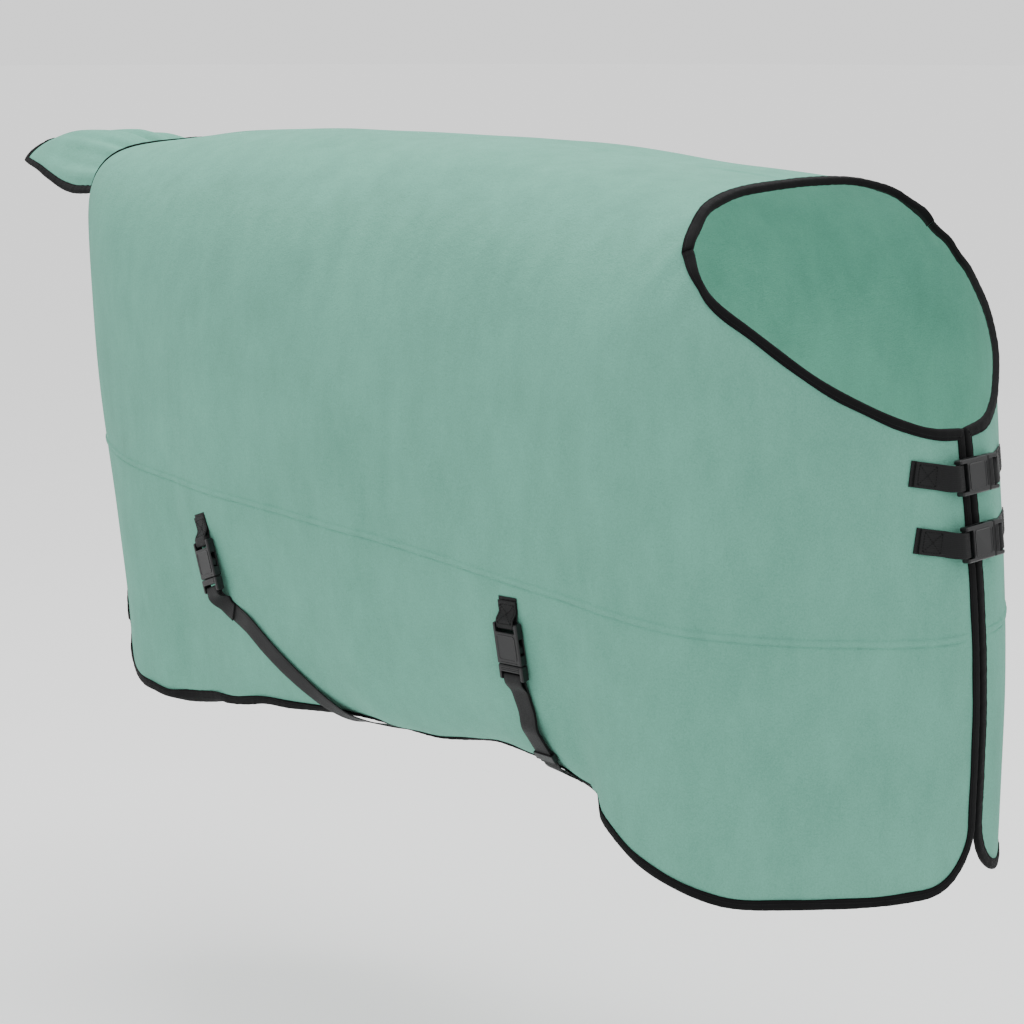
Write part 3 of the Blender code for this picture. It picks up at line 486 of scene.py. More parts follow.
def shell(name: str, outer: Array, inner: Array, normals: Array) -> bpy.types.Mesh:
    """A sheet of cloth with a real thickness, from the grids of its outer and inner faces.

    Args:
        name: the mesh's name.
        outer: points of the outer face, as (columns, rows, 3).
        inner: points of the inner face.
        normals: outward unit normals at those points.

    Returns:
        The mesh, with the given normals on both faces.
    """
    columns, rows, _ = outer.shape
    cloth = bmesh.new()
    bmesh.ops.create_grid(cloth, x_segments=rows - 1, y_segments=columns - 1, size=1)
    source = cloth.verts.layers.int.new("source")
    for i, (vert, point) in enumerate(zip(cloth.verts, outer.reshape(-1, 3))):
        vert.co = point
        vert[source] = i + 1
    lifted = bmesh.ops.extrude_face_region(cloth, geom=cloth.faces[:], use_keep_orig=True)["geom"]
    under = inner.reshape(-1, 3)
    for vert in (item for item in lifted if isinstance(item, bmesh.types.BMVert)):
        vert.co = under[vert[source] - 1]
        vert[source] = -vert[source]
    bmesh.ops.recalc_face_normals(cloth, faces=cloth.faces[:])
    cloth.verts.index_update()
    label = np.array([vert[source] for vert in cloth.verts])
    cloth.verts.layers.int.remove(source)
    mesh = settled(cloth, name)
    corners = np.empty(len(mesh.loops), int)
    mesh.loops.foreach_get("vertex_index", corners)
    sizes = np.empty(len(mesh.polygons), int)
    mesh.polygons.foreach_get("loop_total", sizes)
    faces = np.empty(len(mesh.polygons) * 3)
    mesh.polygons.foreach_get("normal", faces)
    owner = np.repeat(np.arange(len(sizes)), sizes)
    sign = np.sign(label[corners])
    total = np.bincount(owner, sign)[owner]
    smooth = normals.reshape(-1, 3)[np.abs(label[corners]) - 1] * sign[:, None]
    flat = faces.reshape(-1, 3)[owner]
    whole = np.abs(total) == sizes[owner]
    mesh.normals_split_custom_set(np.where(whole[:, None], smooth, flat).tolist())
    return mesh


def unit(vectors: Array) -> Array:
    """Vectors of length one."""
    return vectors / np.maximum(np.linalg.norm(vectors, axis=-1, keepdims=True), 1e-12)


def distances(points: Array) -> Array:
    """How far each point lies from the first, along the line through them."""
    return np.concatenate([[0], np.cumsum(np.linalg.norm(np.diff(points, axis=0), axis=1))])


def blur_step(value: Array, low: float, high: float) -> Array:
    """A smooth step from 0 below low to 1 above high."""
    t = np.clip((value - low) / (high - low), 0, 1)
    return t * t * (3 - 2 * t)


def bell(value: Array, centre: float, width: float) -> Array:
    """A bump of height 1 that has all but gone two widths from its centre."""
    return np.exp(-((value - centre) / width) ** 2)


# ---------------------------------------------------------------- the worn surface


class Curve:
    """A curve through (x, value) points that never overshoots them."""

    def __init__(self, points: tuple[tuple[float, float], ...]) -> None:
        """Works out the slopes once.

        Args:
            points: the points, in order of x.
        """
        self.xs, self.ys = (np.array(column, float) for column in zip(*points))
        self.steps = np.diff(self.xs)
        slopes = np.diff(self.ys) / self.steps
        self.slopes = np.concatenate([slopes[:1], np.zeros(len(self.xs) - 2), slopes[-1:]])
        for i in range(1, len(self.xs) - 1):
            if slopes[i - 1] * slopes[i] > 0:
                before = 2 * self.steps[i] + self.steps[i - 1]
                after = self.steps[i] + 2 * self.steps[i - 1]
                self.slopes[i] = (before + after) / (before / slopes[i - 1] + after / slopes[i])

    def __call__(self, x: Array | float) -> Array:
        """Values of the curve at x."""
        x = np.clip(x, self.xs[0], self.xs[-1])
        k = np.clip(np.searchsorted(self.xs, x, side="right") - 1, 0, len(self.steps) - 1)
        t = (x - self.xs[k]) / self.steps[k]
        ends = (2 * t**3 - 3 * t**2 + 1) * self.ys[k] + (3 * t**2 - 2 * t**3) * self.ys[k + 1]
        bend = (t**3 - 2 * t**2 + t) * self.slopes[k] + (t**3 - t**2) * self.slopes[k + 1]
        return ends + self.steps[k] * bend


HALF_FLEECE = 0.002
SPINE_STRIP = 0.05  # half width of the strip over the spine whose rows run straight
EDGE_GAP = 0.0028  # how far each front edge is moved out, so that the two halves meet without crossing
EDGE_GAP_START = 0.70
CHEST_LEAN, CHEST_LEAN_DEPTH, CHEST_LEAN_START = 0.042, 0.40, 0.45  # forward bulge of the chest
CUT_SLOPE = 0.247  # lean of the line that the front halves fold along
REAR_NOTCH, REAR_EDGE, NOTCH_HALF_WIDTH = -0.770, -0.805, 0.12
FRONT_X = 0.770
QUARTER_TURN = math.pi / 2
CLOTH_PITCH, TAPE_PITCH = 0.0083, 0.0042  # about how far apart the rows of cloth and of tape are
EDGE_STEP = 0.010  # from a cut edge to the line inside it that shows its tape which way to lie
SETTLING_ROUNDS = 16  # repeats after which a place that depends on its own height no longer moves
FRONT_ROUND, REAR_ROUND = 0.080, 0.070  # radius of the cloth's lower corners at the chest and at the rear
NECK_TOP = Curve(((0.0, 0.507), (0.09, 0.509), (0.174, 0.518), (0.247, 0.545)))
NECK_CORNER = (0.545, -0.092)
NECK_SIDE = Curve((NECK_CORNER, (0.585, -0.140), (0.642, -0.190), (0.705, -0.253), (0.770, -0.311)))
SEAM = Curve(((-0.83, -0.499), (0.0, -0.508), (0.40, -0.531), (0.77, -0.562)))

# x, top, half width, height of widest, hem half width, hem height, tuck under the belly, squareness
PROFILE = (
    (-0.830, -0.043, 0.125, -0.161, 0.070, -0.756, 0.10, 3.2),
    (-0.780, -0.031, 0.180, -0.171, 0.125, -0.786, 0.10, 3.2),
    (-0.680, -0.019, 0.236, -0.221, 0.200, -0.833, 0.15, 3.0),
    (-0.500, -0.005, 0.290, -0.361, 0.268, -0.863, 0.15, 2.8),
    (-0.250, 0.005, 0.322, -0.441, 0.272, -0.821, 0.40, 2.8),
    (-0.060, 0.002, 0.325, -0.441, 0.230, -0.807, 0.90, 2.8),
    (0.060, 0.002, 0.325, -0.441, 0.210, -0.811, 1.00, 2.8),
    (0.200, -0.006, 0.325, -0.441, 0.215, -0.786, 0.90, 2.9),
    (0.330, -0.016, 0.322, -0.441, 0.225, -0.791, 0.90, 3.0),
    (0.400, -0.021, 0.320, -0.441, 0.250, -0.806, 0.60, 3.2),
    (0.460, -0.026, 0.316, -0.441, 0.290, -0.821, 0.25, 3.4),
    (0.520, -0.033, 0.310, -0.441, 0.305, -0.851, 0.10, 3.8),
    (0.580, -0.039, 0.292, -0.441, 0.292, -0.874, 0.05, 3.8),
    (0.630, -0.046, 0.258, -0.441, 0.258, -0.887, 0.00, 3.4),
    (0.680, -0.061, 0.205, -0.441, 0.205, -0.889, 0.00, 3.2),
    (0.720, -0.071, 0.145, -0.441, 0.145, -0.887, 0.00, 3.2),
    (0.750, -0.081, 0.090, -0.441, 0.090, -0.885, 0.00, 3.2),
    (0.765, -0.086, 0.045, -0.441, 0.045, -0.883, 0.00, 3.2),
    (0.770, -0.091, 0.000, -0.441, 0.000, -0.881, 0.00, 3.2),
)
# folds that hang from the sides: height, turns along x, phase, lag between the sides, turns down the side
HANGING_FOLDS = ((0.0022, 23, 1.3, 1.1, 2.2), (0.0016, 41, -0.7, 2.3, -1.6), (0.0005, 67, 0.4, 0.9, 3.1))
# soft unevenness all over: turns along x, turns along the girth, phase, height
SOFT_WAVES = (
    (9.1, 5.3, 0.3, 0.0011), (14.2, -9.4, 1.9, 0.0008), (6.7, 13.5, 4.0, 0.0010),
    (21.0, 8.2, 2.6, 0.0006), (17.5, -19.1, 5.2, 0.0005), (31.0, 12.0, 0.9, 0.0003),
)

# Middle of each strap and its width direction: x, y, z, and the direction's x, y, z. A scratch script wrote
# this table and BUCKLE_FRAMES out of the part's source, apart from the last points of the two chest webbings,
# so both go stale if a strap or a buckle moves there.
ROUTES: dict[str, tuple[tuple[float, ...], ...]] = {
    "chest_upper_tab": (
        (0.76, -0.0914, -0.3527, -0.147, 0, 0.989), (0.7623, -0.0865, -0.3537, -0.149, 0, 0.989),
        (0.7644, -0.0816, -0.3548, -0.15, 0, 0.989), (0.7664, -0.0765, -0.3559, -0.151, 0, 0.989),
        (0.7683, -0.0716, -0.3569, -0.152, 0, 0.988), (0.77, -0.0667, -0.3579, -0.152, 0, 0.988),
        (0.7718, -0.0619, -0.3589, -0.153, 0, 0.988), (0.7735, -0.057, -0.3599, -0.154, 0, 0.988),
        (0.7865, -0.0365, -0.3638, -0.158, 0, 0.987), (0.7865, -0.0315, -0.3638, -0.158, 0, 0.987),
        (0.7871, -0.0275, -0.3637, -0.158, 0, 0.987), (0.7903, -0.026, -0.3631, -0.158, 0, 0.987),
        (0.7936, -0.0275, -0.3626, -0.158, 0, 0.987), (0.7942, -0.0315, -0.3625, -0.158, 0, 0.987),
        (0.7942, -0.0365, -0.3625, -0.158, 0, 0.987), (0.7757, -0.0576, -0.3596, -0.154, 0, 0.988),
        (0.774, -0.0625, -0.3586, -0.153, 0, 0.988), (0.7722, -0.0674, -0.3576, -0.152, 0, 0.988),
        (0.7704, -0.0724, -0.3566, -0.152, 0, 0.988), (0.7685, -0.0774, -0.3555, -0.151, 0, 0.989),
        (0.7665, -0.0825, -0.3545, -0.15, 0, 0.989), (0.7643, -0.0875, -0.3534, -0.149, 0, 0.989),
    ),
    "chest_upper_webbing": (
        (0.7409, 0.13, -0.3647, -0.13, 0, 0.991), (0.7445, 0.1246, -0.3647, -0.133, 0, 0.991),
        (0.7477, 0.119, -0.3647, -0.135, 0, 0.991), (0.7507, 0.1135, -0.3647, -0.137, 0, 0.991),
        (0.7536, 0.1079, -0.3647, -0.139, 0, 0.99), (0.7565, 0.1025, -0.3647, -0.141, 0, 0.99),
        (0.7593, 0.0971, -0.3647, -0.143, 0, 0.99), (0.7618, 0.0916, -0.3647, -0.145, 0, 0.989),
        (0.7641, 0.0861, -0.3647, -0.147, 0, 0.989), (0.7663, 0.0804, -0.3648, -0.148, 0, 0.989),
        (0.7683, 0.0748, -0.3648, -0.15, 0, 0.989), (0.7702, 0.0692, -0.3648, -0.151, 0, 0.989),
        (0.7865, 0.0455, -0.3638, -0.158, 0, 0.987), (0.7865, 0.0405, -0.3638, -0.158, 0, 0.987),
        (0.7871, 0.0365, -0.3637, -0.158, 0, 0.987), (0.7903, 0.035, -0.3631, -0.158, 0, 0.987),
        (0.7936, 0.0365, -0.3626, -0.158, 0, 0.987), (0.7942, 0.0405, -0.3625, -0.158, 0, 0.987),
        (0.7925, 0.0460, -0.3608, -0.10, -0.14, 0.985), (0.7888, 0.0513, -0.3570, 0.03, -0.30, 0.953),
        (0.7852, 0.0566, -0.3525, 0.11, -0.42, 0.900),
    ),
    "chest_lower_tab": (
        (0.7707, -0.0913, -0.4328, -0.128, 0, 0.992), (0.7733, -0.0865, -0.4338, -0.13, 0, 0.992),
        (0.7755, -0.0815, -0.4349, -0.131, 0, 0.991), (0.7776, -0.0765, -0.4359, -0.133, 0, 0.991),
        (0.7796, -0.0716, -0.437, -0.134, 0, 0.991), (0.7815, -0.0667, -0.438, -0.135, 0, 0.991),
        (0.7834, -0.0619, -0.439, -0.136, 0, 0.991), (0.7852, -0.057, -0.44, -0.136, 0, 0.991),
        (0.7987, -0.0365, -0.4439, -0.14, 0, 0.99), (0.7987, -0.0315, -0.4439, -0.14, 0, 0.99),
        (0.7993, -0.0275, -0.4438, -0.14, 0, 0.99), (0.8025, -0.026, -0.4434, -0.14, 0, 0.99),
        (0.8058, -0.0275, -0.4429, -0.14, 0, 0.99), (0.8064, -0.0315, -0.4428, -0.14, 0, 0.99),
        (0.8064, -0.0365, -0.4428, -0.14, 0, 0.99), (0.7874, -0.0576, -0.4397, -0.136, 0, 0.991),
        (0.7856, -0.0625, -0.4387, -0.136, 0, 0.991), (0.7837, -0.0674, -0.4377, -0.135, 0, 0.991),
        (0.7817, -0.0724, -0.4367, -0.134, 0, 0.991), (0.7797, -0.0774, -0.4357, -0.133, 0, 0.991),
        (0.7776, -0.0824, -0.4346, -0.131, 0, 0.991), (0.7754, -0.0875, -0.4335, -0.13, 0, 0.992),
    ),
    "chest_lower_webbing": (
        (0.75, 0.1297, -0.4449, -0.109, 0, 0.994), (0.7537, 0.1243, -0.4448, -0.112, 0, 0.994),
        (0.7571, 0.1188, -0.4448, -0.114, 0, 0.993), (0.7602, 0.1132, -0.4449, -0.116, 0, 0.993),
        (0.7634, 0.1077, -0.4449, -0.119, 0, 0.993), (0.7665, 0.1022, -0.4448, -0.121, 0, 0.993),
        (0.7694, 0.0968, -0.4448, -0.123, 0, 0.992), (0.7723, 0.0915, -0.4448, -0.125, 0, 0.992),
        (0.7749, 0.086, -0.4448, -0.127, 0, 0.992), (0.7772, 0.0803, -0.4448, -0.129, 0, 0.992),
        (0.7794, 0.0747, -0.4449, -0.131, 0, 0.991), (0.7815, 0.0692, -0.4449, -0.132, 0, 0.991),
        (0.7987, 0.0455, -0.4439, -0.14, 0, 0.99), (0.7987, 0.0405, -0.4439, -0.14, 0, 0.99),
        (0.7993, 0.0365, -0.4438, -0.14, 0, 0.99), (0.8025, 0.035, -0.4434, -0.14, 0, 0.99),
        (0.8058, 0.0365, -0.4429, -0.14, 0, 0.99), (0.8064, 0.0405, -0.4428, -0.14, 0, 0.99),
        (0.8040, 0.0462, -0.4428, -0.14, 0, 0.99),
        (0.7994, 0.0526, -0.4433, -0.12, -0.06, 0.99), (0.7950, 0.0592, -0.4430, -0.10, -0.10, 0.99),
    ),
    "surcingle_front_tab": (
        (0.3131, -0.3215, -0.5444, 0.997, 0.013, 0.07), (0.3133, -0.3211, -0.5488, 0.997, 0.012, 0.07),
        (0.3136, -0.3207, -0.5533, 0.997, 0.011, 0.07), (0.3139, -0.3204, -0.5577, 0.997, 0.01, 0.07),
        (0.3142, -0.32, -0.5622, 0.998, 0.008, 0.07), (0.3149, -0.3212, -0.5742, 0.998, -0.021, 0.066),
        (0.3153, -0.3206, -0.5792, 0.998, -0.021, 0.066), (0.3155, -0.3208, -0.5832, 0.998, -0.021, 0.066),
        (0.3156, -0.3238, -0.5851, 0.998, -0.021, 0.066), (0.3155, -0.3272, -0.584, 0.998, -0.021, 0.066),
        (0.3152, -0.3284, -0.5801, 0.998, -0.021, 0.066), (0.3148, -0.329, -0.5752, 0.998, -0.021, 0.066),
        (0.3143, -0.3223, -0.5624, 0.998, 0.008, 0.07), (0.314, -0.3227, -0.5579, 0.997, 0.01, 0.07),
        (0.3137, -0.323, -0.5535, 0.997, 0.011, 0.07), (0.3134, -0.3234, -0.549, 0.997, 0.012, 0.07),
    ),
    "surcingle_front_webbing": (
        (0.3051, 0.3208, -0.554, 0.999, -0.016, 0.027), (0.3056, 0.3193, -0.5752, 1, -0.011, 0.027),
        (0.3064, 0.3151, -0.6067, 1, -0.001, 0.025), (0.3074, 0.3089, -0.6461, 1, 0.015, 0.022),
        (0.3084, 0.2997, -0.685, 0.999, 0.035, 0.014), (0.3093, 0.287, -0.7202, 0.998, 0.058, -0),
        (0.3101, 0.2691, -0.7535, 0.996, 0.08, -0.026), (0.3109, 0.2478, -0.7782, 0.995, 0.084, -0.061),
        (0.3111, 0.2264, -0.7971, 0.994, 0.082, -0.076), (0.3149, 0.1577, -0.8222, 0.999, 0.052, 0.015),
        (0.3238, -0.0019, -0.8473, 0.998, 0.055, 0), (0.3326, -0.1614, -0.8234, 0.999, 0.052, -0.015),
        (0.3364, -0.2298, -0.7982, 0.98, -0.072, -0.186), (0.3336, -0.2571, -0.7813, 0.996, -0.088, 0.033),
        (0.3328, -0.2616, -0.774, 0.994, -0.095, 0.049), (0.3283, -0.2875, -0.7329, 0.994, -0.095, 0.049),
        (0.3275, -0.2921, -0.7256, 0.993, -0.101, 0.064), (0.3254, -0.2962, -0.702, 0.992, -0.084, 0.091),
        (0.3215, -0.305, -0.6719, 0.992, -0.059, 0.113), (0.3205, -0.3111, -0.6554, 0.998, -0.021, 0.066),
        (0.3202, -0.3118, -0.6504, 0.998, -0.021, 0.066), (0.3199, -0.3129, -0.6466, 0.998, -0.021, 0.066),
        (0.3198, -0.3163, -0.6455, 0.998, -0.021, 0.066), (0.3198, -0.3194, -0.6474, 0.998, -0.021, 0.066),
        (0.3201, -0.3195, -0.6514, 0.998, -0.021, 0.066), (0.3204, -0.3189, -0.6564, 0.998, -0.021, 0.066),
        (0.3214, -0.3072, -0.6727, 0.992, -0.059, 0.113), (0.3225, -0.3039, -0.6826, 0.992, -0.067, 0.105),
        (0.324, -0.301, -0.6925, 0.992, -0.075, 0.098), (0.3253, -0.2984, -0.7026, 0.992, -0.084, 0.091),
        (0.326, -0.2974, -0.7103, 0.993, -0.089, 0.082), (0.3266, -0.2966, -0.7184, 0.993, -0.095, 0.073),
        (0.3273, -0.2943, -0.7263, 0.993, -0.101, 0.064), (0.3281, -0.2895, -0.7341, 0.994, -0.095, 0.049),
        (0.329, -0.2843, -0.7423, 0.994, -0.095, 0.049), (0.3299, -0.2791, -0.7506, 0.994, -0.095, 0.049),
        (0.3308, -0.2739, -0.7588, 0.994, -0.095, 0.049), (0.3317, -0.2687, -0.767, 0.994, -0.095, 0.049),
        (0.3326, -0.2636, -0.7753, 0.994, -0.095, 0.049),
    ),
    "surcingle_front_anchor": (
        (0.3051, 0.3238, -0.5077, 1, -0.026, 0), (0.3051, 0.3237, -0.5127, 1, -0.025, 0),
        (0.3051, 0.3236, -0.5177, 1, -0.025, 0), (0.3051, 0.3235, -0.5228, 1, -0.024, 0),
        (0.3051, 0.3231, -0.5278, 1, -0.023, 0), (0.3051, 0.3227, -0.5328, 1, -0.023, 0),
        (0.3051, 0.3222, -0.5378, 1, -0.022, 0), (0.3051, 0.3218, -0.5428, 1, -0.021, 0),
        (0.3051, 0.3214, -0.5478, 1, -0.02, 0), (0.3051, 0.3209, -0.5528, 1, -0.019, 0),
    ),
    "surcingle_rear_tab": (
        (-0.3381, -0.312, -0.5402, 0.924, -0.143, 0.354), (-0.3366, -0.3119, -0.5444, 0.924, -0.143, 0.354),
        (-0.335, -0.3117, -0.5486, 0.924, -0.143, 0.354), (-0.3334, -0.3115, -0.5527, 0.924, -0.142, 0.354),
        (-0.3318, -0.3114, -0.5569, 0.924, -0.143, 0.354),
        (-0.3303, -0.3112, -0.5611, 0.924, -0.141, 0.354), (-0.3248, -0.314, -0.5757, 0.925, -0.133, 0.355),
        (-0.323, -0.3141, -0.5804, 0.925, -0.133, 0.355), (-0.3217, -0.3148, -0.5841, 0.925, -0.133, 0.355),
        (-0.3216, -0.3181, -0.5856, 0.925, -0.133, 0.355),
        (-0.3226, -0.3213, -0.5843, 0.925, -0.133, 0.355),
        (-0.3241, -0.3218, -0.5806, 0.925, -0.133, 0.355),
        (-0.3259, -0.3217, -0.5759, 0.925, -0.133, 0.355),
        (-0.3305, -0.3135, -0.5613, 0.924, -0.141, 0.354),
        (-0.3321, -0.3137, -0.5571, 0.924, -0.143, 0.354),
        (-0.3337, -0.3138, -0.5529, 0.924, -0.142, 0.354), (-0.3353, -0.314, -0.5488, 0.924, -0.143, 0.354),
        (-0.3368, -0.3141, -0.5446, 0.924, -0.143, 0.354),
    ),
    "surcingle_rear_webbing": (
        (-0.085, 0.3231, -0.5626, 1, 0.013, -0.017), (-0.0854, 0.3211, -0.5838, 1, 0.015, -0.017),
        (-0.0859, 0.3178, -0.6156, 1, 0.017, -0.018), (-0.0865, 0.3119, -0.6552, 1, 0.015, -0.018),
        (-0.0871, 0.3043, -0.6946, 1, 0.008, -0.016), (-0.0875, 0.2944, -0.7309, 1, -0.009, -0.008),
        (-0.0878, 0.2804, -0.7664, 0.999, -0.04, 0.014), (-0.0879, 0.2623, -0.7945, 0.996, -0.068, 0.064),
        (-0.0873, 0.2421, -0.8157, 0.985, -0.033, 0.168), (-0.0834, 0.1696, -0.8392, 0.998, 0.055, 0.015),
        (-0.0735, 0.0034, -0.8641, 0.998, 0.06, 0), (-0.0635, -0.1628, -0.84, 0.998, 0.057, -0.016),
        (-0.0592, -0.234, -0.8147, 0.984, -0.11, 0.139), (-0.0777, -0.2506, -0.8087, 0.666, -0.553, 0.501),
        (-0.1064, -0.2691, -0.7908, 0.645, -0.387, 0.659), (-0.1399, -0.283, -0.7668, 0.626, -0.256, 0.736),
        (-0.1732, -0.2933, -0.7423, 0.617, -0.188, 0.764), (-0.2065, -0.3002, -0.7173, 0.61, -0.161, 0.776),
        (-0.2374, -0.3039, -0.6941, 0.51, -0.169, 0.843), (-0.2904, -0.3057, -0.6677, 0.444, -0.175, 0.879),
        (-0.2957, -0.3158, -0.6524, 0.925, -0.133, 0.355),
        (-0.2975, -0.3157, -0.6477, 0.925, -0.133, 0.355), (-0.299, -0.3162, -0.644, 0.925, -0.133, 0.355),
        (-0.3, -0.3194, -0.6426, 0.925, -0.133, 0.355), (-0.2999, -0.3227, -0.6441, 0.925, -0.133, 0.355),
        (-0.2985, -0.3234, -0.6479, 0.925, -0.133, 0.355),
        (-0.2967, -0.3235, -0.6526, 0.925, -0.133, 0.355),
        (-0.2894, -0.3077, -0.6685, 0.444, -0.175, 0.879),
        (-0.2828, -0.3048, -0.6755, 0.457, -0.174, 0.872), (-0.2729, -0.3043, -0.6804, 0.47, -0.173, 0.865),
    ),
    "surcingle_rear_anchor": (
        (-0.085, 0.3261, -0.5163, 1, 0.01, -0), (-0.085, 0.3258, -0.5213, 1, 0.01, -0),
        (-0.085, 0.3254, -0.5263, 1, 0.011, -0), (-0.085, 0.3251, -0.5313, 1, 0.011, -0),
        (-0.085, 0.3248, -0.5363, 1, 0.012, -0), (-0.085, 0.3245, -0.5413, 1, 0.012, -0),
        (-0.085, 0.3242, -0.5463, 1, 0.013, -0), (-0.085, 0.3238, -0.5513, 1, 0.013, -0),
        (-0.085, 0.3235, -0.5563, 1, 0.014, -0), (-0.085, 0.3232, -0.5614, 1, 0.014, -0),
    ),
}
# where each buckle and the keeper sit: x along the strap, y across it, z outward, and the origin, in rows
BUCKLE_FRAMES: dict[str, tuple[tuple[float, ...], ...]] = {
    "chest_lower": (
        (0, -0.140038, 0.990146, 0.796588),
        (1, 0, 0, 0.022),
        (0, 0.990146, 0.140038, -0.444217),
    ),
    "chest_upper": (
        (0, -0.158215, 0.987405, 0.784404),
        (1, 0, 0, 0.022),
        (0, 0.987405, 0.158215, -0.364099),
    ),
    "surcingle_front_slider": (
        (0.092315, 0.994278, -0.053755, 0.331592),
        (0.530824, -0.094816, -0.842161, -0.268953),
        (-0.842439, 0.04921, -0.53654, -0.764533),
    ),
    "surcingle_front": (
        (0.068277, 0.997589, -0.012409, 0.318963),
        (0.123318, -0.020781, -0.99215, -0.311949),
        (-0.990016, 0.066211, -0.124439, -0.631862),
    ),
    "surcingle_rear": (
        (0.354975, 0.925455, -0.132385, -0.303774),
        (-0.0221, -0.13326, -0.990835, -0.313186),
        (-0.934615, 0.354647, -0.026852, -0.630332),
    ),
}


@dataclass
class WornSurface:
    """The rug's cloth as it hangs, as points for x and a signed girth from the spine, right side negative."""

    shares: int = 420
    stations: Array = field(init=False)
    girths: Array = field(init=False)
    halves: Array = field(init=False)
    heights: Array = field(init=False)
    seams: Array = field(init=False)
    necks: Array = field(init=False)
    plan: Array = field(init=False)
    reach: Array = field(init=False)
    spine: float = field(init=False)

    def __post_init__(self) -> None:
        """Draws the cross-sections once, evenly along their girth."""
        curves = [Curve(tuple((row[0], row[i]) for row in PROFILE)) for i in range(1, 8)]
        self.stations = np.concatenate([np.linspace(-0.83, 0.69, 560, endpoint=False),
                                        np.linspace(0.69, FRONT_X, 161)])
        even = np.linspace(0, 1, self.shares)
        girths, halves, heights, seams, necks = [], [], [], [], []
        for x in self.stations:
            reach, half, height = self.section(*(float(curve(x)) for curve in curves))
            girths.append(reach[-1])
            halves.append(np.interp(even * reach[-1], reach, half))
            heights.append(np.interp(even * reach[-1], reach, height))
            falling = np.maximum.accumulate(height[::-1])
            seams.append(np.interp(SEAM(x), falling, reach[::-1]))
            necks.append(np.interp(NECK_SIDE(x), falling, reach[::-1]))
        self.girths, self.seams, self.necks = (np.array(values) for values in (girths, seams, necks))
        self.halves, self.heights = np.array(halves), np.array(heights)
        self.plan = np.linspace(0.30, FRONT_X, 600)
        widest = curves[1](self.plan)
        self.reach = np.concatenate([[0], np.cumsum(np.hypot(np.diff(self.plan), np.diff(widest)))])
        self.spine = float(self.at(np.array([0.0]), np.array([SPINE_STRIP]))[1][0])

    @staticmethod
    def section(top: float, half: float, widest: float, hem_half: float, hem: float, tuck: float,
                square: float) -> tuple[Array, Array, Array]:
        """One side of a cross-section, from the spine to the hem.

        Args:
            top: height of the spine.
            half: half width at the widest place.
            widest: height of the widest place.
            hem_half: half width at the hem.
            hem: height of the hem.
            tuck: how far the hem curls in under the belly, from 0 to 1.
            square: how square the shoulder of the arch is.

        Returns:
            Girth, half width and height along it.
        """
        angle = np.linspace(0, QUARTER_TURN, 48)
        arch = np.stack([half * np.sin(angle) ** (2 / square),
                         widest + (top - widest) * np.cos(angle) ** (2 / square)], 1)
        ends = np.array([(half, widest), (half, widest - 0.4 * (widest - hem)),
                         (hem_half + tuck * (0.7 * (half - hem_half) + 0.02),
                          hem + (1 - tuck) * 0.4 * (widest - hem) + 0.02 * tuck), (hem_half, hem)])
        t = np.linspace(0, 1, 48)[1:, None]
        skirt = ((1 - t) ** 3 * ends[0] + 3 * t * (1 - t) ** 2 * ends[1]
                 + 3 * t**2 * (1 - t) * ends[2] + t**3 * ends[3])
        line = np.concatenate([arch, skirt])
        return distances(line), line[:, 0], line[:, 1]

    def hem(self, x: Array) -> Array:
        """Girth from the spine to the hem."""
        return np.interp(x, self.stations, self.girths)

    def edge(self, x: Array) -> Array:
        """Girth from the spine to the cut edge, which is rounded at the rear and at the chest."""
        ahead = np.clip(FRONT_ROUND - (self.reach[-1] - np.interp(x, self.plan, self.reach)), 0, FRONT_ROUND)
        behind = np.clip(REAR_ROUND - (x - REAR_EDGE), 0, REAR_ROUND)
        rise = ((FRONT_ROUND - np.sqrt(FRONT_ROUND**2 - ahead**2))
                + (REAR_ROUND - np.sqrt(REAR_ROUND**2 - behind**2)))
        return self.hem(x) - rise

    def seam(self, x: Array) -> Array:
        """Girth from the spine to the side seam."""
        return np.interp(x, self.stations, self.seams)

    def neck(self, x: Array) -> Array:
        """Girth from the spine to the neckline of a front half."""
        return np.interp(x, self.stations, self.necks)

    def at(self, x: Array, girth: Array) -> tuple[Array, Array]:
        """Half width and height at a girth, which is signed or not."""
        place = np.interp(x, self.stations, np.arange(len(self.stations)))
        i = np.clip(place.astype(int), 0, len(self.stations) - 2)
        u = place - i
        share = np.clip(np.abs(girth) / self.hem(x), 0, 1) * (self.shares - 1)
        j = np.clip(share.astype(int), 0, self.shares - 2)
        v = share - j
        values = []
        for table in (self.halves, self.heights):
            low = table[i, j] * (1 - v) + table[i, j + 1] * v
            high = table[i + 1, j] * (1 - v) + table[i + 1, j + 1] * v
            values.append(low * (1 - u) + high * u)
        return values[0], values[1]

    def middle(self, x: Array, girth: Array) -> Array:
        """Points on the undisturbed middle of the cloth."""
        half, z = self.at(x, girth)
        share = np.clip((x - CHEST_LEAN_START) / (FRONT_X - CHEST_LEAN_START), 0, 1) ** 2
        depth = np.clip((NECK_SIDE.ys[-1] - z) / CHEST_LEAN_DEPTH, 0, 1)
        lean = share * CHEST_LEAN * np.sin(depth * math.pi / 2)
        opened = np.clip((x - EDGE_GAP_START) / (FRONT_X - EDGE_GAP_START), 0, 1)
        y = np.sign(girth) * (half + EDGE_GAP * opened)
        return np.stack([x + lean, y, z - self.spine + HALF_FLEECE], -1)

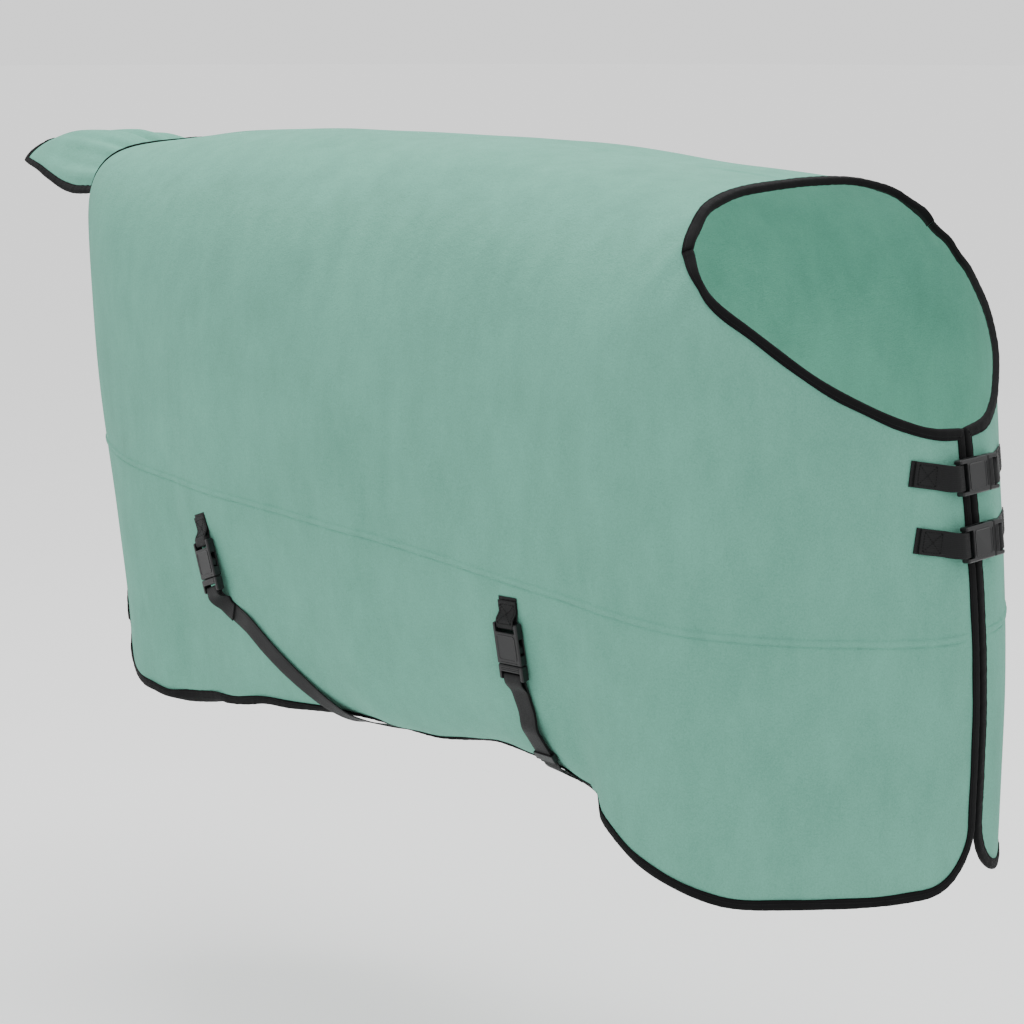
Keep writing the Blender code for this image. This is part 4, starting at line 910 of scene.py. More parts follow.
    @staticmethod
    def facing(points: object, x: Array, girth: Array, step: float = 0.0025) -> Array:
        """Outward normals of a surface by differences.

        Args:
            points: a function of x and girth.
            x: where along the rug.
            girth: where round it.
            step: distance of the differences.

        Returns:
            Unit normals.
        """
        ahead, behind = np.minimum(x + step, FRONT_X), np.minimum(x + step, FRONT_X) - 2 * step
        lengthwise = points(ahead, girth) - points(behind, girth)
        round_it = points(x, girth + step) - points(x, girth - step)
        return unit(np.cross(lengthwise, round_it))

    def quiet(self, points: Array) -> Array:
        """How freely the cloth may fold at some points: 0 under straps and buckles, 1 away from them."""
        free = np.ones(points.shape[:-1])
        near, far = 0.030, 0.085
        for name, route in ROUTES.items():
            line = np.array(route)[:, :3]
            line = line[(np.abs(line[:, 1]) > 0.2) | (line[:, 0] > 0.6)]  # where it lies on the cloth
            if name.startswith("surcingle"):
                line = line[line[:, 2] > -0.83]  # above the belly
            for spot in line[::2]:
                away = np.linalg.norm(points - spot, axis=-1)
                free = np.minimum(free, blur_step(away, near, far))
        return free

    def folds(self, x: Array, girth: Array, points: Array) -> Array:
        """How far the cloth stands out from its undisturbed shape.

        Args:
            x: where along the rug.
            girth: where round it, signed.
            points: the undisturbed points.

        Returns:
            Distances along the outward normal.
        """
        side = np.sign(girth)
        down = np.abs(girth) / self.hem(x)
        drop = blur_step(down, 0.42, 1.0)
        hang = sum(height * np.sin(kx * x + phase + lag * side + kd * down)
                   for height, kx, phase, lag, kd in HANGING_FOLDS) * drop
        soft = sum(height * np.sin(kx * x + kg * girth + phase + 0.6 * side)
                   for kx, kg, phase, height in SOFT_WAVES)
        at_withers = bell(points[..., 2], -0.10, 0.06) * bell(x, 0.55, 0.05)
        gathers = 0.0016 * np.sin(150 * (x - 0.5) + 60 * np.abs(girth)) * at_withers
        near_edge = blur_step(FRONT_X - x, 0.0, 0.09)
        return (hang + soft + gathers) * self.quiet(points) * near_edge

    def seam_ridge(self, x: Array, girth: Array) -> Array:
        """Height of the lapped side seam over the cloth."""
        off = np.abs(girth) - self.seam(x)
        # a lap with two stitched grooves, puckered at each stitch, that fades before it meets a tape
        lap = 0.0017 * blur_step(off, -0.0085, -0.0045) * (1 - blur_step(off, 0.0008, 0.0026))
        groove = 0.0011 * bell(off, -0.0062, 0.0011) + 0.0008 * bell(off, 0.0030, 0.0012)
        pucker = 1 + 0.22 * np.sin(x * 2 * math.pi / 0.0115)
        half = self.at(x, girth)[0]
        clear = blur_step(half, 0.013, 0.030) * blur_step(x - REAR_EDGE, 0.012, 0.03)
        return (lap - groove) * pucker * clear

    def cloth(self, x: Array, girth: Array) -> Array:
        """Points on the middle of the folded cloth."""
        middle = self.middle(x, girth)
        normal = self.facing(self.middle, x, girth)
        return middle + normal * self.folds(x, girth, middle)[..., None]

    def faces(self, x: Array, girth: Array) -> tuple[Array, Array, Array]:
        """Outer face, inner face and outward normals of the cloth.

        Args:
            x: where along the rug.
            girth: where round it, signed.

        Returns:
            Outer points, inner points and normals for the outer face, seam ridge included.
        """
        base = self.cloth(x, girth)
        normal = self.facing(self.cloth, x, girth)

        def raised(a: Array, b: Array) -> Array:
            """The outer face near a place, on the normal of that place."""
            spot = self.cloth(a, b)
            return spot + normal * self.seam_ridge(a, b)[..., None]

        outer_normal = self.facing(raised, x, girth, 0.0010)
        outer = base + normal * (HALF_FLEECE + self.seam_ridge(x, girth))[..., None]
        return outer, base - normal * HALF_FLEECE, outer_normal

    @staticmethod
    def cut(z: Array) -> Array:
        """x of the line that the front halves fold along, at a height of the profile."""
        return NECK_CORNER[0] + CUT_SLOPE * (z - NECK_CORNER[1])

    def fold_foot(self) -> float:
        """x of the place on the hem where the fold line of the front halves ends."""
        x = 0.4
        for _ in range(40):
            spot = np.array([x])
            x = float(self.cut(self.at(spot, self.hem(spot))[1])[0])
        return x

    @staticmethod
    def rear(girth: Array) -> Array:
        """x of the rear edge."""
        t = np.clip(np.abs(girth) / NOTCH_HALF_WIDTH, 0, 1)
        return REAR_NOTCH + (REAR_EDGE - REAR_NOTCH) * (3 * t * t - 2 * t**3)


@dataclass
class EdgeRun:
    """A run of places along an edge of cloth: the edge, the outward normal and the way into the cloth."""

    points: Array
    normals: Array
    inward: Array

    @classmethod
    def between(cls, edge: Array, within: Array, normals: Array) -> "EdgeRun":
        """A run from the line of an edge and the line just inside it."""
        return cls(edge, normals, unit(within - edge))

    def reversed(self) -> "EdgeRun":
        """The same run from its other end."""
        return EdgeRun(self.points[::-1], self.normals[::-1], self.inward[::-1])

    def cut(self, first: int, last: int | None) -> "EdgeRun":
        """A part of the run."""
        return EdgeRun(self.points[first:last], self.normals[first:last], self.inward[first:last])

    def joined(self, other: "EdgeRun") -> "EdgeRun":
        """This run and another that starts where it ends, mitred where they meet.

        Args:
            other: the next run.

        Returns:
            Both runs as one.
        """
        inward = self.inward[-1] + other.inward[0]
        if float(np.dot(self.inward[-1], other.inward[0])) > 0.5:
            inward = unit(inward)
        normal = unit(self.normals[-1] + other.normals[0])
        return EdgeRun(np.concatenate([self.points[:-1], other.points]),
                       np.concatenate([self.normals[:-1], normal[None], other.normals[1:]]),
                       np.concatenate([self.inward[:-1], inward[None], other.inward[1:]]))


@dataclass
class BindingTape:
    """Tape folded over an edge of cloth and stitched down on both faces."""

    name: str
    run: EdgeRun
    width: float = 0.0122
    stand: float = 0.0042
    fold: float = 0.0021
    ripple: float = 0.00022
    ripple_lengths: tuple[float, float] = (0.0137, 0.0231)
    drift_length: float = 0.083  # over which the width wanders by a few hundredths
    phase: float = 0.0

    def build(self) -> bpy.types.Mesh:
        """Lofts the tape's rounded section along its run.

        Returns:
            The mesh, with UVs in metres.
        """
        w, s, f = self.width, self.stand, self.fold
        # one face of the section, from its inner edge to the fold: distance into the cloth and off its middle
        half = ((w - 0.0004, 0.0012), (w, 0.0027), (w - 0.0006, s - 0.0002), (w - 0.0020, s - 0.0001),
                (w - 0.0029, s - 0.0006), (w - 0.0038, s), (w * 0.45, s + 0.0002), (0.0018, s),
                (-0.0002, s - 0.0005), (-0.0014, s - 0.0015), (-f, 0.0008))
        outline = np.array(half + tuple((a, -b) for a, b in half[::-1]))
        reach = distances(self.run.points)
        short, long = self.ripple_lengths
        wave = (np.sin(reach * 2 * math.pi / short + self.phase)
                + 0.7 * np.sin(reach * 2 * math.pi / long + 1.7 * self.phase)) * self.ripple
        drift = 1 + 0.03 * np.sin(reach * 2 * math.pi / self.drift_length + self.phase)
        inward, normals = self.run.inward[:, None], self.run.normals[:, None]
        into, off = outline[None, :, :1], outline[None, :, 1:]
        rings = (self.run.points[:, None] + inward * (into * drift[:, None, None])
                 + normals * (off + np.sign(off) * wave[:, None, None] * 0.8))
        across = np.where(outline[:, 1] > 0, 1, -1) * (outline[:, 0] + 0.002)
        return skin(self.name, rings, True, reach, across)


# ---------------------------------------------------------------- cloth


# rows of cloth across the lapped seam, as distances below it, and how far the even rows keep off
SEAM_ROWS = (-0.0085, -0.0072, -0.0062, -0.0052, -0.0040, -0.0015, 0.0010, 0.0020, 0.0030, 0.0040)
SEAM_ABOVE, SEAM_BELOW = 0.0100, 0.0060


@dataclass
class RugCloth:
    """The body of the rug: one cloth from hem to hem over the spine, with a lapped seam along each side."""

    surface: WornSurface
    columns: int = 150
    crowding: float = 1.25  # how much closer the columns lie at the rear edge
    body: str = "rug_body"
    flat: tuple[float, float] = (2.13, 1.33)
    area: float = 2.66

    def rows(self) -> tuple[Array, Array]:
        """Rows of one side from the spine to the hem.

        Returns:
            Girth of each row as shares (constant, of the seam's girth, of the hem's girth), and which rows
            end at the neckline over the withers.
        """
        x = NECK_CORNER[0]
        corner, seam, hem = (float(f(x)) for f in (self.surface.neck, self.surface.seam, self.surface.hem))
        share = (corner - SPINE_STRIP) / (seam - SEAM_ABOVE - SPINE_STRIP)
        strip = [(girth, 0, 0) for girth in np.linspace(0, SPINE_STRIP, 7)]
        above = np.linspace(0, share, round((corner - SPINE_STRIP) / CLOTH_PITCH) + 1)[1:]
        below = np.linspace(share, 1, round((seam - corner) / CLOTH_PITCH) + 1)[1:]
        upper = [(SPINE_STRIP * (1 - p) - SEAM_ABOVE * p, p, 0) for p in (*above, *below)]
        ridge = [(offset, 1, 0) for offset in SEAM_ROWS]
        skirt = [(SEAM_BELOW * (1 - q), 1 - q, q)
                 for q in np.linspace(0, 1, round((hem - seam) / CLOTH_PITCH) + 1)]
        found = np.array(strip + upper + ridge + skirt)
        return found, np.arange(len(found)) < len(strip) + len(above)

    def grid(self) -> tuple[Array, Array]:
        """x and signed girth of every point, as (columns, rows), from the right hem to the left.

        Returns:
            The two grids.
        """
        rows, top = self.rows()
        share = np.linspace(0, 1, self.columns)[:, None] ** self.crowding
        x = np.zeros((self.columns, len(rows)))
        for _ in range(SETTLING_ROUNDS):
            girth = rows[:, 0] + rows[:, 1] * self.surface.seam(x) + rows[:, 2] * self.surface.edge(x)
            half, height = self.surface.at(x, girth)
            front = np.where(top, NECK_TOP(half), self.surface.cut(height))
            rear = self.surface.rear(girth)
            x = rear + (front - rear) * share
        return (np.concatenate([x[:, :0:-1], x], 1), np.concatenate([-girth[:, :0:-1], girth], 1))

    def build(self) -> bpy.types.Object:
        """Makes the cloth.

        Returns:
            The finished piece.
        """
        x, girth = self.grid()
        return piece("rug_cloth", shell("rug_cloth", *self.surface.faces(x, girth)))

    def dress(self, obj: bpy.types.Object, wardrobe: Wardrobe, tapes: list[bpy.types.Object]) -> None:
        """Gives the cloth its finish and its body."""
        wardrobe.dress(obj, Slot.FLEECE)
        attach(obj, self.body)
        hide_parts("back_panel", "lower_panel_right", "lower_panel_left")


@dataclass
class BodyTapes:
    """The binding of the rug's body: over the withers, round the rear edge and along each hem."""

    surface: WornSurface
    stand: float = 0.0052
    rear_width: float = 0.0158
    corner_places: int = 14  # places of each hem's rounded corner that the rear edge's tape takes over
    eased_places: int = 7

    def places(self, x: Array, girth: Array, x_in: Array, girth_in: Array) -> EdgeRun:
        """A run along an edge, from its places and the places just inside it."""
        return EdgeRun.between(self.surface.cloth(x, girth), self.surface.cloth(x_in, girth_in),
                               self.surface.facing(self.surface.cloth, x, girth))

    def corner(self, side: Side) -> tuple[Array, Array]:
        """Normal and inward direction shared by the two tapes that meet at a corner of the neckline."""
        x, girth = np.array([NECK_CORNER[0]]), self.surface.neck(np.array([NECK_CORNER[0]])) * side.value
        above = self.places(x, girth, x - EDGE_STEP, girth)
        below = self.places(x, girth, x, girth + side.value * EDGE_STEP)
        return unit(above.normals + below.normals)[0], unit(above.inward + below.inward)[0]

    def eased(self, run: EdgeRun, side: Side, at_end: bool) -> EdgeRun:
        """A run whose last places turn into the frame of the neckline's corner.

        Args:
            run: the run.
            side: which corner.
            at_end: whether the corner is at the run's end.

        Returns:
            The run, eased.
        """
        normal, inward = self.corner(side)
        for i in range(self.eased_places):
            k = -1 - i if at_end else i
            share = 1 - i / self.eased_places
            run.normals[k] = unit(run.normals[k] * (1 - share) + normal * share)
            run.inward[k] = unit(run.inward[k] * (1 - share) + inward * share)
        return run

    def withers(self) -> EdgeRun:
        """The neckline over the withers, from the right corner to the left.

        Returns:
            The run.
        """
        corner = float(self.surface.neck(NECK_CORNER[0]))
        girth = np.linspace(-corner, corner, 2 * round(corner / TAPE_PITCH) + 1)
        x = np.full_like(girth, 0.52)
        for _ in range(SETTLING_ROUNDS):
            x = NECK_TOP(self.surface.at(x, girth)[0])
        run = self.places(x, girth, x - EDGE_STEP, girth)
        return self.eased(self.eased(run, Side.RIGHT, False), Side.LEFT, True)

    def hem(self, side: Side) -> EdgeRun:
        """A hem from the rear edge, round its corner, to the front half."""
        front = self.surface.fold_foot()
        turn = np.linspace(0, QUARTER_TURN, round(REAR_ROUND * QUARTER_TURN / TAPE_PITCH) + 1)
        x_round = REAR_EDGE + REAR_ROUND * (1 - np.cos(turn))
        straight = np.linspace(REAR_EDGE + REAR_ROUND, front, round((front - REAR_EDGE) / TAPE_PITCH))[1:]
        x = np.concatenate([x_round, straight])
        way = np.concatenate([turn, np.full_like(straight, QUARTER_TURN)])
        girth = self.surface.edge(x)
        return self.places(x, girth * side.value, x + EDGE_STEP * np.cos(way),
                           (girth - EDGE_STEP * np.sin(way)) * side.value)

    def rear(self) -> EdgeRun:
        """The rear edge between the rounded corners, from the right to the left."""
        share = np.linspace(-1, 1, 2 * round(0.9 / TAPE_PITCH) + 1)
        x = np.full_like(share, REAR_EDGE)
        for _ in range(10):
            girth = share * self.surface.edge(np.full_like(x, REAR_EDGE))
            x = self.surface.rear(girth)
        return self.places(x, girth, x + EDGE_STEP, girth)

    def build(self) -> dict[str, bpy.types.Object]:
        """Makes the four tapes.

        Returns:
            Each tape by the CAD node that it stands for.
        """
        hems = {side: self.hem(side) for side in Side}
        turned = {side: hems[side].cut(0, self.corner_places) for side in Side}
        rear = turned[Side.RIGHT].reversed().joined(self.rear()).joined(turned[Side.LEFT])
        runs = {"neck_binding": self.withers(), "rear_binding": rear}
        runs |= {f"hem_binding_{side.label}": hems[side].cut(self.corner_places - 1, None) for side in Side}
        made = {}
        for i, (node, run) in enumerate(runs.items()):
            name = node.replace("binding", "tape")
            width = self.rear_width if node == "rear_binding" else BindingTape.width
            made[node] = piece(name, BindingTape(name, run, width, self.stand, phase=1.3 * i).build())
        return made

    def dress(self, made: dict[str, bpy.types.Object], wardrobe: Wardrobe) -> None:
        """Gives the tapes their finish and body."""
        for node, obj in made.items():
            wardrobe.dress(obj, Slot.BINDING)
            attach(obj, "rug_body")
            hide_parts(node)


@dataclass
class FrontHalf:
    """One front half: cloth from the shoulder to the chest, and its neckline, front edge and hem in tape."""

    surface: WornSurface
    side: Side
    columns: int = 60
    crowding: float = 1.4  # how much closer the columns lie at the front edge
    counted_at: float = 0.6  # x where the rows are counted
    neck_places: int = 96
    hem_places: int = 110
    bend_start: tuple[float, float, float] = (0.539, 0.0, -0.133)
    bend_end: tuple[float, float, float] = (0.6214, 0.0, -0.1536)
    flat: tuple[float, float] = (0.52, 0.82)
    area: float = 0.342

    def grid(self) -> tuple[Array, Array]:
        """x and signed girth of every point, as (columns, rows), from the fold line to the front edge.

        Returns:
            The two grids.
        """
        neck_at, seam_at, hem_at = (float(girth_to(self.counted_at)) for girth_to in (
            self.surface.neck, self.surface.seam, self.surface.hem))
        upper = [(1 - r, -SEAM_ABOVE * r, r, 0)
                 for r in np.linspace(0, 1, round((seam_at - neck_at) / CLOTH_PITCH) + 1)]
        ridge = [(0, offset, 1, 0) for offset in SEAM_ROWS]
        skirt = [(0, SEAM_BELOW * (1 - q), 1 - q, q)
                 for q in np.linspace(0, 1, round((hem_at - seam_at) / CLOTH_PITCH) + 1)]
        rows = np.array(upper + ridge + skirt)
        xs, reach = self.surface.plan, self.surface.reach
        share = 1 - np.linspace(1, 0, self.columns)[:, None] ** self.crowding
        x = np.full((self.columns, len(rows)), self.counted_at)
        for _ in range(SETTLING_ROUNDS):
            girth = (rows[:, 0] * self.surface.neck(x) + rows[:, 1] + rows[:, 2] * self.surface.seam(x)
                     + rows[:, 3] * self.surface.edge(x))
            start = np.interp(self.surface.cut(self.surface.at(x, girth)[1]), xs, reach)
            x = np.interp(start + (reach[-1] - start) * share, reach, xs)
        order = slice(None) if self.side is Side.LEFT else slice(None, None, -1)
        return x[:, order], girth[:, order] * self.side.value

    def run(self) -> EdgeRun:
        """The edge from the corner of the neckline, down the front and back along the hem.

        Returns:
            The run, mitred at both corners.
        """
        xs, reach = self.surface.plan, self.surface.reach
        sign = self.side.value
        start = float(np.interp(NECK_CORNER[0], xs, reach))
        neck_x = np.interp(np.linspace(start, reach[-1], self.neck_places), reach, xs)
        neck = self.surface.neck(neck_x) * sign
        back = np.interp(reach[-1] - EDGE_STEP, reach, xs)
        top, low = float(self.surface.neck(FRONT_X)), float(self.surface.edge(FRONT_X))
        edge = np.linspace(top, low, round((low - top) / TAPE_PITCH)) * sign
        turn = np.linspace(0, QUARTER_TURN, round(FRONT_ROUND * QUARTER_TURN / TAPE_PITCH) + 1)
        foot = float(np.interp(self.surface.fold_foot(), xs, reach))
        straight = np.linspace(reach[-1] - FRONT_ROUND, foot, self.hem_places)[1:]
        hem_reach = np.concatenate([reach[-1] - FRONT_ROUND * (1 - np.cos(turn)), straight])
        way = np.concatenate([turn, np.full_like(straight, QUARTER_TURN)])
        hem_x = np.interp(hem_reach, reach, xs)
        hem = self.surface.edge(hem_x)
        within_x = np.interp(hem_reach - EDGE_STEP * np.cos(way), reach, xs)
        tapes = BodyTapes(self.surface)
        down = np.full_like(edge, FRONT_X)
        neckline = tapes.eased(tapes.places(neck_x, neck, neck_x, neck + sign * EDGE_STEP), self.side, False)
        return (neckline.joined(tapes.places(down, edge, np.full_like(edge, back), edge))
                .joined(tapes.places(hem_x, hem * sign, within_x, (hem - EDGE_STEP * np.sin(way)) * sign)))

    def build(self) -> tuple[bpy.types.Object, bpy.types.Object]:
        """Makes the cloth and its tape.

        Returns:
            The cloth and the tape.
        """
        x, girth = self.grid()
        name = f"front_cloth_{self.side.label}"
        cloth = piece(name, shell(name, *self.surface.faces(x, girth)))
        name = f"front_tape_{self.side.label}"
        return cloth, piece(name, BindingTape(name, self.run(), phase=2.1 + self.side.value).build())

    def dress(self, cloth: bpy.types.Object, tape: bpy.types.Object, wardrobe: Wardrobe) -> None:
        """Gives the front half its finishes."""
        side = self.side.label
        wardrobe.dress(cloth, Slot.FLEECE)
        wardrobe.dress(tape, Slot.BINDING)
        for obj, nodes in ((cloth, (f"front_upper_{side}", f"front_lower_{side}")),
                           (tape, (f"front_binding_{side}",))):
            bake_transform(obj)
            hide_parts(*nodes)


@dataclass
class TailFlap:
    """The tail flap: gathered where it is sewn to the rear edge, and bound round its free edges."""

    surface: WornSurface
    length: float = 0.32
    half_width: float = 0.150
    crown: Curve = Curve(((0, -0.040), (0.35, -0.021), (0.7, -0.024), (1, -0.043)))
    fall: Curve = Curve(((0, 0.062), (0.3, 0.085), (0.6, 0.068), (1, 0.030)))
    overlap: float = 0.0028
    bend_start: tuple[float, float, float] = (-0.802, 0.0, -0.105)
    bend_end: tuple[float, float, float] = (-0.895, 0.0, -0.105)
    flat: tuple[float, float] = (0.36, 0.34)
    area: float = 0.099

    def middle(self, along: Array, across: Array) -> Array:
        """Points of the flap: along runs from the rug to the tip, across from -1 on the right to 1."""
        half = self.half_width - 0.050 * along**2
        y = across * half
        root = self.surface.rear(np.clip(np.abs(y), SPINE_STRIP, NOTCH_HALF_WIDTH)) - 0.0045
        x = root + self.overlap * (1 - along) - self.length * along * (1 - 0.16 * across**2)
        z = self.crown(along) - self.fall(along) * np.abs(across) ** 2.2
        return np.stack([x, y, z], -1)

    def facing(self, points: object, along: Array, across: Array) -> Array:
        """Upward normals of the flap by differences."""
        low, high = np.clip(along - 0.01, 0, 1), np.clip(along + 0.01, 0, 1)
        lengthwise = points(low, across) - points(high, across)
        crosswise = points(along, across + 0.02) - points(along, across - 0.02)
        return unit(np.cross(lengthwise, crosswise))

    def cloth(self, along: Array, across: Array) -> Array:
        """Points of the flap with its gathers and soft folds."""
        middle = self.middle(along, across)
        fading = (1 - along) ** 2 * blur_step(along, 0.0, 0.10)
        gathers = 0.0062 * np.sin(21 * across + 0.6) * fading + 0.0030 * np.sin(37 * across + 2.0) * fading
        waves = (0.0040 * np.sin(4.2 * across + 3.4 * along + 0.8)
                 + 0.0018 * np.sin(7.5 * across - 3.0 * along))
        soft = waves * blur_step(along, 0.05, 0.5)
        return middle + self.facing(self.middle, along, across) * (gathers + soft)[..., None]

    def build(self) -> tuple[bpy.types.Object, bpy.types.Object]:
        """Makes the flap and its tape.

        Returns:
            The cloth and the tape.
        """
        rows, columns = np.meshgrid(np.linspace(0, 1, 58), np.linspace(-1, 1, 61), indexing="ij")
        normals = self.facing(self.cloth, rows, columns)
        middle = self.cloth(rows, columns)
        cloth = piece("tail_flap_cloth", shell("tail_flap_cloth", middle + normals * HALF_FLEECE,
                                               middle - normals * HALF_FLEECE, normals))
        along, across = np.linspace(0.012, 1, 80), np.linspace(-1, 1, 64)
        ones, inset = np.ones_like, 0.04

        def run(a: Array, b: Array, a_in: Array, b_in: Array) -> EdgeRun:
            """A run of the flap's edge."""
            return EdgeRun.between(self.cloth(a, b), self.cloth(a_in, b_in), self.facing(self.cloth, a, b))

        right = run(along, -ones(along), along, -ones(along) + inset)
        left = run(along, ones(along), along, ones(along) - inset)
        tip = run(ones(across), across, ones(across) - inset, across)
        edge = right.joined(tip).joined(left.reversed())
        return cloth, piece("tail_flap_tape", BindingTape("tail_flap_tape", edge, phase=0.4).build())

    def dress(self, cloth: bpy.types.Object, tape: bpy.types.Object, wardrobe: Wardrobe) -> None:
        """Gives the flap its finishes."""
        wardrobe.dress(cloth, Slot.FLEECE)
        wardrobe.dress(tape, Slot.BINDING)
        for obj, node in ((cloth, "tail_flap"), (tape, "tail_flap_binding")):
            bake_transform(obj)
            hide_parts(node)


# ---------------------------------------------------------------- straps


class StitchBox(Enum):
    """Where a strap is sewn down: a box with a cross at one end of it."""

    NONE = 0
    START = 1
    END = 2


@dataclass
class Strap:
    """A length of webbing along its route, with box stitching where it is sewn down."""

    name: str
    body: str
    sewn: StitchBox = StitchBox.NONE
    width: float = 0.0318
    thickness: float = 0.0016
    step: float = 0.0028
    box_length: float = 0.026
    box_from_end: float = 0.005
    box_from_side: float = 0.0035
    stitch: float = 0.0036

    def path(self) -> tuple[Array, Array]:
        """Even points and width directions along the route.

        Returns:
            Points and width directions.
        """
        route = np.array(ROUTES[self.name])
        points, sides = route[:, :3], route[:, 3:]
        spans = np.linalg.norm(np.diff(points, axis=0), axis=1)
        speeds = np.diff(points, axis=0) / spans[:, None]
        inner = ((speeds[:-1] * spans[1:, None] + speeds[1:] * spans[:-1, None])
                 / (spans[:-1] + spans[1:])[:, None])
        tangents = np.concatenate([speeds[:1], inner, speeds[-1:]])
        found, across = [], []
        for i, span in enumerate(spans):
            t = np.linspace(0, 1, max(2, math.ceil(span / self.step) + 1))[:, None]
            t = t if i + 1 == len(spans) else t[:-1]
            found.append((2 * t**3 - 3 * t**2 + 1) * points[i] + (3 * t**2 - 2 * t**3) * points[i + 1]
                         + span * ((t**3 - 2 * t**2 + t) * tangents[i] + (t**3 - t**2) * tangents[i + 1]))
            across.append(sides[i] * (1 - t) + sides[i + 1] * t)
        return np.concatenate(found), np.concatenate(across)

    def frames(self) -> tuple[Array, Array, Array, Array]:
        """The strap's middle line with its directions.

        Returns:
            Points, directions along it, across it and off its face.
        """
        points, sides = self.path()
        along = unit(np.gradient(points, axis=0))
        sides = unit(sides - along * np.sum(sides * along, axis=1, keepdims=True))
        return points, along, sides, np.cross(sides, along)

    def build(self) -> bpy.types.Object:
        """Lofts the webbing.

        Returns:
            The finished strap.
        """
        points, _, sides, normals = self.frames()
        w, t = self.width / 2, self.thickness / 2
        half = ((-w + 0.0002, -t * 0.55), (-w + 0.0009, -t), (-w * 0.5, -t * 1.04), (0.0, -t * 1.06),
                (w * 0.5, -t * 1.04), (w - 0.0009, -t), (w - 0.0002, -t * 0.55))
        outline = np.array(half + tuple((-a, -b) for a, b in half))
        rings = (points[:, None] + sides[:, None] * outline[None, :, :1]
                 + normals[:, None] * outline[None, :, 1:])
        reach = distances(points)
        return piece(f"{self.name}_strap", skin(self.name, rings, True, reach, outline[:, 0]))

    def lines(self, total: float) -> list[tuple[tuple[float, float], tuple[float, float]]]:
        """Stitch lines as pairs of (distance along, distance across)."""
        if self.sewn is StitchBox.NONE:
            return []
        a = self.box_from_end if self.sewn is StitchBox.START else total - self.box_from_end - self.box_length
        b, w = a + self.box_length, self.width / 2 - self.box_from_side
        return [((a, -w), (b, -w)), ((b, -w), (b, w)), ((b, w), (a, w)), ((a, w), (a, -w)),
                ((a, -w), (b, w)), ((a, w), (b, -w))]

    def stitches(self) -> bpy.types.Object | None:
        """Makes the stitches as small raised threads.

        Returns:
            The piece, or nothing where the strap isn't sewn.
        """
        points, along, sides, normals = self.frames()
        reach = distances(points)
        threads = bmesh.new()
        for (a, b), (c, d) in self.lines(float(reach[-1])):
            count = max(2, round(math.hypot(c - a, d - b) / self.stitch))
            for k in range(count):
                share = (k + 0.5) / count
                place, off = a + (c - a) * share, b + (d - b) * share
                spot, ahead, side, normal = (
                    Vector([float(np.interp(place, reach, values[:, i])) for i in range(3)])
                    for values in (points, along, sides, normals))
                inside = Vector((min(max(spot.x, -0.6), 0.5), 0, -0.4))
                normal = normal if normal.dot(spot - inside) > 0 else -normal
                run = (ahead * (c - a) + side * (d - b)).normalized()
                turn = Matrix((run, normal.cross(run), normal)).transposed().to_4x4()
                turn.translation = spot + side * off + normal * (self.thickness / 2 + 0.00022)
                bead = Matrix.Diagonal((self.stitch * 0.43, 0.00042, 0.0003, 1))
                bmesh.ops.create_icosphere(threads, subdivisions=1, radius=1, matrix=turn @ bead)
        if not threads.verts:
            threads.free()
            return None
        return piece(f"{self.name}_stitching", settled(threads, f"{self.name}_stitching"))

    def dress(self, strap: bpy.types.Object, threads: bpy.types.Object | None, wardrobe: Wardrobe) -> None:
        """Gives the strap and its stitches their finish and body."""
        wardrobe.dress(strap, Slot.WEBBING)
        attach(strap, self.body)
        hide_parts(self.name)
        if threads is not None:
            wardrobe.dress(threads, Slot.BINDING)
            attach(threads, self.body)


# ---------------------------------------------------------------- buckles


EASE, SMALL_EASE = 0.0007, 0.0004  # radii of moulded edges


def soften(node: str, wardrobe: Wardrobe, width: float = SMALL_EASE) -> None:
    """Eases the edges of a moulded CAD node and repaints it.

    Args:
        node: the node's name.
        wardrobe: the finishes.
        width: how far the edges are eased.
    """
    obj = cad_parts[node]
    obj.modifiers.new("weld", "WELD").merge_threshold = 2e-5
    bevel = obj.modifiers.new("eased edges", "BEVEL")
    bevel.width, bevel.segments, bevel.limit_method = width, 3, "ANGLE"
    bevel.angle_limit = math.radians(28)
    bevel.use_clamp_overlap = True
    wardrobe.dress(obj, Slot.BUCKLES)


